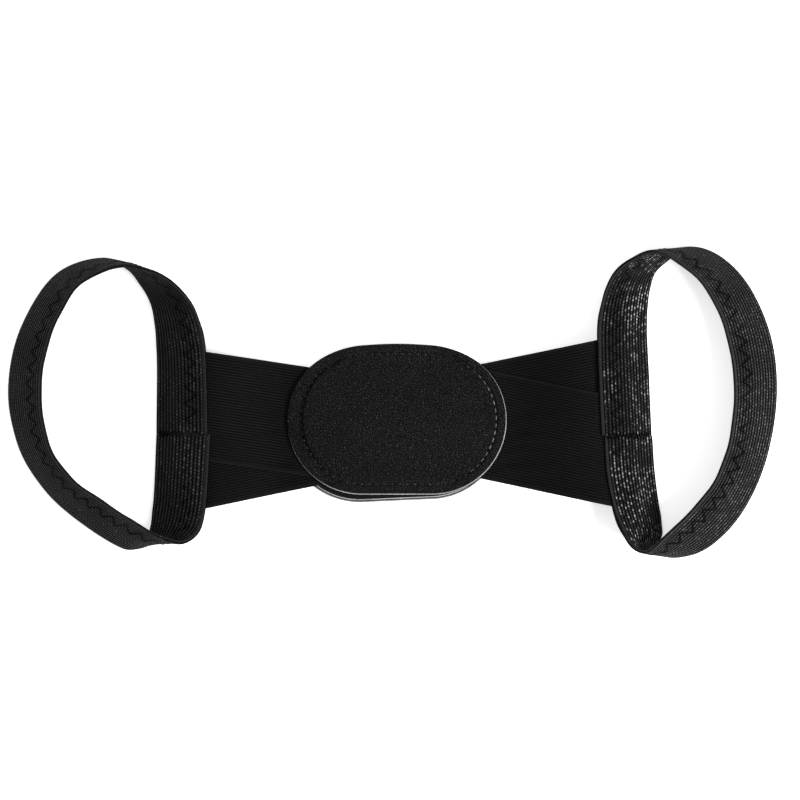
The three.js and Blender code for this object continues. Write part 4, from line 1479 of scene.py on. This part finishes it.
# The right loop lies nearer the key light, so its copy of the strap material has much stronger painted glints
# than the left loop's: the two are a lit and a shaded copy of one material.
STRAP_SPARKLE = {"left": (0.22, 0.12), "right": (1.5, 0.30)}
STRAP_ELASTIC = {
    name: elastic(
        f"strap_elastic_{name}", (grey(0.0003), grey(0.030), grey(0.36)), sparkle,
        dict(Rib_Count=ALL_RIBS, Loop_Length=2.4, Chevron=0.55),
        dict(Patch_Scale=STRAP_PATCHES, Lint=0.5),
        relief=0.00055, roughness=0.50, specular=0.06,
        furrow_values=dict(
            Rib_Count=ALL_RIBS, Pitch=ZIGZAG_PITCH, Start=ZIGZAG_END, Half=ZIGZAG_HALF / RIB_PITCH,
            Centre=(ZIGZAG_CENTRE - SELVEDGE) / RIB_PITCH, Width=FURROW_WIDTH / RIB_PITCH,
        ),
    )
    for name, sparkle in STRAP_SPARKLE.items()
}
BAND_ELASTIC = elastic(
    "band_elastic", (grey(0.0014), grey(0.0084), grey(0.03)), (0.2, 0.2),
    dict(Rib_Count=float(BAND_RIBS), Loop_Length=1.3, Chevron=0.30),
    dict(Patch_Scale=22.0, Lint=0.3),
    relief=0.00025, roughness=0.7, specular=0.04,
)

# %% [markdown]
# Leatherette is a plastic skin on cloth, embossed with pebbles. A clear coat over a base colour could give
# its gloss, but the pebbles scatter the light, so a fairly rough shader with a strong bump is enough.

# %% Leatherette
LEATHER_PATCHES = 18.0
LEATHER_LINT = 0.4
LINT_COLOUR = grey(0.2)
CREASE_ROUGHER = 0.2


def leatherette(name, base, crease, pebble_scale, depth, roughness, specular):
    """Embossed black coating, darker in the creases as painted shade and duller there, with slow changes of
    tone.
    """
    material, tree, shader = new_material(name, roughness, specular)
    where = coordinates(tree)
    grain = place_group(tree, GRAIN, Object=where, Pebble_Scale=pebble_scale)
    tone = place_group(tree, TONE, Object=where, Patch_Scale=LEATHER_PATCHES, Lint=LEATHER_LINT)
    # The creases are painted darker, as painted shade.
    share = calc(tree, "MULTIPLY", calc(tree, "SUBTRACT", 1.0, grain["Crease"]), tone["Tone"])
    colour = blend_colours(tree, calc(tree, "MINIMUM", share, 1.0), crease, base)
    colour = blend_colours(tree, tone["Lint"], colour, LINT_COLOUR)
    tree.links.new(colour, shader.inputs["Base Color"])
    dull = calc(tree, "ADD", roughness, calc(tree, "MULTIPLY", grain["Crease"], CREASE_ROUGHER))
    tree.links.new(dull, shader.inputs["Roughness"])
    add_bump(tree, shader, grain["Height"], depth)
    print(name, len(tree.nodes), "nodes")
    return material


PAD_LEATHER = leatherette(
    "pad_leatherette", grey(0.0108), grey(0.0003),
    pebble_scale=560.0, depth=0.0012, roughness=0.42, specular=0.08,
)
BACK_LEATHER = leatherette(
    "back_leatherette", grey(0.0060), grey(0.0010),
    pebble_scale=700.0, depth=0.00025, roughness=0.60, specular=0.08,
)

# %% [markdown]
# ### Cut edges and thread
# Where the pad's plies are cut, their pale knitted backing shows as a thin line, whose pale grey also
# stands for a painted highlight where the edges catch the key light. The sewing thread is a black twist,
# glossier on the pad than on the straps: its stripes run round it as they run along it. On the pad's right
# side, where the thread stands proud, it is painted pale, a painted glint of the key light. On the straps
# it takes a dusty grey in the cloth's lighter patches.

# %% Cut edge
EDGE_GREYS = (grey(0.03), (0.36, 0.36, 0.35, 1.0))
FIBRE_SCALE = 1400.0
FIBRE_SHARES = (0.35, 1.0)
EDGE_PATCHES = 60.0
FIBRE_RELIEF = 0.0002


def cut_edge():
    """Pale knitted backing, whose pale grey also stands for a painted highlight where the edges catch the key
    light: fine noise for its fibres, times the tone, mixed from a dark to a pale grey.
    """
    material, tree, shader = new_material("cut_edge", roughness=0.85, specular=0.2, sheen=0.1)
    where = coordinates(tree)
    fibres = noise(tree, where, FIBRE_SCALE, detail=3.0, roughness=0.7)
    tone = place_group(tree, TONE, Object=where, Patch_Scale=EDGE_PATCHES, Lint=0.0)
    share = calc(tree, "MULTIPLY", remap(tree, fibres, *NOISE_USED, *FIBRE_SHARES), tone["Tone"])
    colour = blend_colours(tree, calc(tree, "MINIMUM", share, 1.0), *EDGE_GREYS)
    tree.links.new(colour, shader.inputs["Base Color"])
    add_bump(tree, shader, fibres, FIBRE_RELIEF)
    return material


CUT_EDGE = cut_edge()
print(CUT_EDGE.name, len(CUT_EDGE.node_tree.nodes), "nodes")

# %% Thread
TWIST_PLIES = 2
TWIST_LENGTH = 0.9
TWIST_RELIEF = 0.00008
STRIPE_SHADE = 0.4
GLINT_STRIPE_SHADE = 0.5
GLINT_SCALE = 140.0
GLINT_PATCHES = (0.38, 0.62, 0.3, 1.0)


def thread(name, colour, roughness, specular, painted_glint=None, dusty=None):
    """Twisted thread with stripes (1 + sin(2 pi (plies x turn + run / length))) / 2. painted_glint is
    where along the object's length the thread is painted pale as a glint of the key light, in metres,
    and how pale. dusty is its colour in the cloth's lighter patches, and those patches' scale."""
    material, tree, shader = new_material(name, roughness, specular)
    split = tree.nodes.new("ShaderNodeSeparateXYZ")
    tree.links.new(coordinates(tree, "Cloth"), split.inputs[0])
    twist = calc(tree, "ADD", calc(tree, "MULTIPLY", split.outputs["X"], 2 * np.pi * TWIST_PLIES),
                 calc(tree, "MULTIPLY", split.outputs["Y"], 2 * np.pi / TWIST_LENGTH))
    stripe = calc(tree, "MULTIPLY", calc(tree, "ADD", calc(tree, "SINE", twist), 1.0), 0.5)
    base = blend_colours(tree, stripe, grey(STRIPE_SHADE * colour[0]), colour)
    where = coordinates(tree)
    # On the pad's right the thread is painted pale, a painted glint of the key light, broken up by noise.
    if painted_glint:
        start, full, pale = painted_glint
        length = tree.nodes.new("ShaderNodeSeparateXYZ")
        tree.links.new(where, length.inputs[0])
        patches = remap(tree, noise(tree, where, GLINT_SCALE), *GLINT_PATCHES)
        share = calc(tree, "MULTIPLY", remap(tree, length.outputs["X"], start, full, 0.0, 1.0), patches)
        glint_colour = blend_colours(tree, stripe, grey(GLINT_STRIPE_SHADE * pale), grey(pale))
        base = blend_colours(tree, share, base, glint_colour)
    if dusty:
        colour_there, patch_scale = dusty
        tone = place_group(tree, TONE, Object=where, Patch_Scale=patch_scale, Lint=0.0)
        base = blend_colours(tree, remap(tree, tone["Tone"], *LIGHT_PATCHES, 0.0, 1.0), base, colour_there)
    tree.links.new(base, shader.inputs["Base Color"])
    add_bump(tree, shader, stripe, TWIST_RELIEF)
    print(name, len(tree.nodes), "nodes")
    return material


STRAP_THREAD = thread(
    "strap_thread", grey(0.0005), roughness=0.55, specular=0.04, dusty=(grey(0.009), STRAP_PATCHES),
)
PAD_THREAD = thread(
    "pad_thread", grey(0.0020), roughness=0.30, specular=0.40, painted_glint=(0.052, 0.070, 0.20),
)

# %% [markdown]
# Each piece now gets its material. The pad's two pieces get two, and the faces that were marked as cut
# edges take the second.

# %% Dressing


def dress(piece, *materials):
    """Gives a piece its materials, in the order of its faces' material numbers."""
    for material in materials:
        piece.data.materials.append(material)
    print(piece.name, "wears", ", ".join(material.name for material in materials))


for name, piece in loops.items():
    dress(piece, STRAP_ELASTIC[name])
for piece, _ in bands.values():
    dress(piece, BAND_ELASTIC)
for piece in loop_seams.values():
    dress(piece, STRAP_THREAD)
dress(pad_front, PAD_LEATHER, CUT_EDGE)
dress(pad_back, BACK_LEATHER, CUT_EDGE)
dress(pad_seam, PAD_THREAD)

# %% [markdown]
# ## The studio
# The photograph has a plain white ground that is almost blown out, and a key light from the right and a
# little below. The ground is a large pale floor that glows a little, like a light table, so that the
# shadows stay faint. Overhead the studio is dim, or the black pieces would mirror it and turn grey.

# %% Floor
FLOOR_HALF = 6.0
FLOOR_DROP = 0.0002
FLOOR_WHITE = 0.93
FLOOR_GLOW = 0.50


def make_floor():
    """A square just under the object."""
    corners = np.array([[-1, -1, 0], [1, -1, 0], [1, 1, 0], [-1, 1, 0]]) * FLOOR_HALF
    mesh = bpy.data.meshes.new("floor")
    mesh.from_pydata((corners - (0, 0, FLOOR_DROP)).tolist(), [], [[0, 1, 2, 3]])
    floor = bpy.data.objects.new("floor", mesh)
    bpy.context.scene.collection.objects.link(floor)
    material, _, shader = new_material("floor_white", roughness=0.9, specular=0.1)
    shader.inputs["Base Color"].default_value = grey(FLOOR_WHITE)
    shader.inputs["Emission Color"].default_value = grey(1.0)
    shader.inputs["Emission Strength"].default_value = FLOOR_GLOW
    mesh.materials.append(material)


make_floor()
print("floor", 2 * FLOOR_HALF, "m wide")

# %% [markdown]
# The key is the smallest and the strongest, so that the ribs and the groove throw shadows of their own. The
# fill and the rim are large and weak, and the world adds a soft light from low down.

# %% Lights
HORIZON_TO_TOP = (0.05, 0.75)
TOP_GREY = 0.50
LIGHTS = {
    "key": dict(place_at=(1.05, -0.42, 0.84), size=0.5, power=33.0),
    "fill": dict(place_at=(-1.5, 0.7, 1.4), size=2.6, power=12.0),
    "rim": dict(place_at=(0.2, 2.0, 1.3), size=3.0, power=8.0),
}


def add_light(name, place_at, size, power):
    """Square area light that faces the object, in metres and watts."""
    data = bpy.data.lights.new(name, "AREA")
    data.size = size
    data.energy = power
    light = bpy.data.objects.new(name, data)
    light.location = place_at
    light.rotation_euler = (-Vector(place_at)).to_track_quat("-Z", "Y").to_euler()
    bpy.context.scene.collection.objects.link(light)
    print(name, power, "W,", size, "m wide")


def make_world():
    """Pale near the horizon and dim overhead: the share is the height of the direction."""
    world = bpy.data.worlds.new("studio")
    bpy.context.scene.world = world
    world.use_nodes = True
    tree = world.node_tree
    split = tree.nodes.new("ShaderNodeSeparateXYZ")
    tree.links.new(tree.nodes.new("ShaderNodeTexCoord").outputs["Generated"], split.inputs[0])
    share = remap(tree, split.outputs["Z"], *HORIZON_TO_TOP, 0.0, 1.0)
    background = tree.nodes["Background"]
    tree.links.new(blend_colours(tree, share, grey(1.0), grey(TOP_GREY)), background.inputs["Color"])
    background.inputs["Strength"].default_value = 1.0


make_world()
for name, values in LIGHTS.items():
    add_light(name, **values)
bpy.context.scene.view_settings.view_transform = "Standard"

# %% [markdown]
# ## Joining the frame
# Each new piece is attached to the one body, and where it stands for an imported node, that node is
# hidden. The corrector has no joints, so all of it rides on the one body.

for name, piece in loops.items():
    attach(piece, "root")
    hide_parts(f"loop_{name}")
    length = SIDES[name]["line"]["along"][-1]
    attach(loop_seams[name], "root")
for name, (piece, length) in bands.items():
    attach(piece, "root")
    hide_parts(name)
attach(pad_front, "root")
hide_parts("pad_front")
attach(pad_seam, "root")
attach(pad_back, "root")
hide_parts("pad_back")
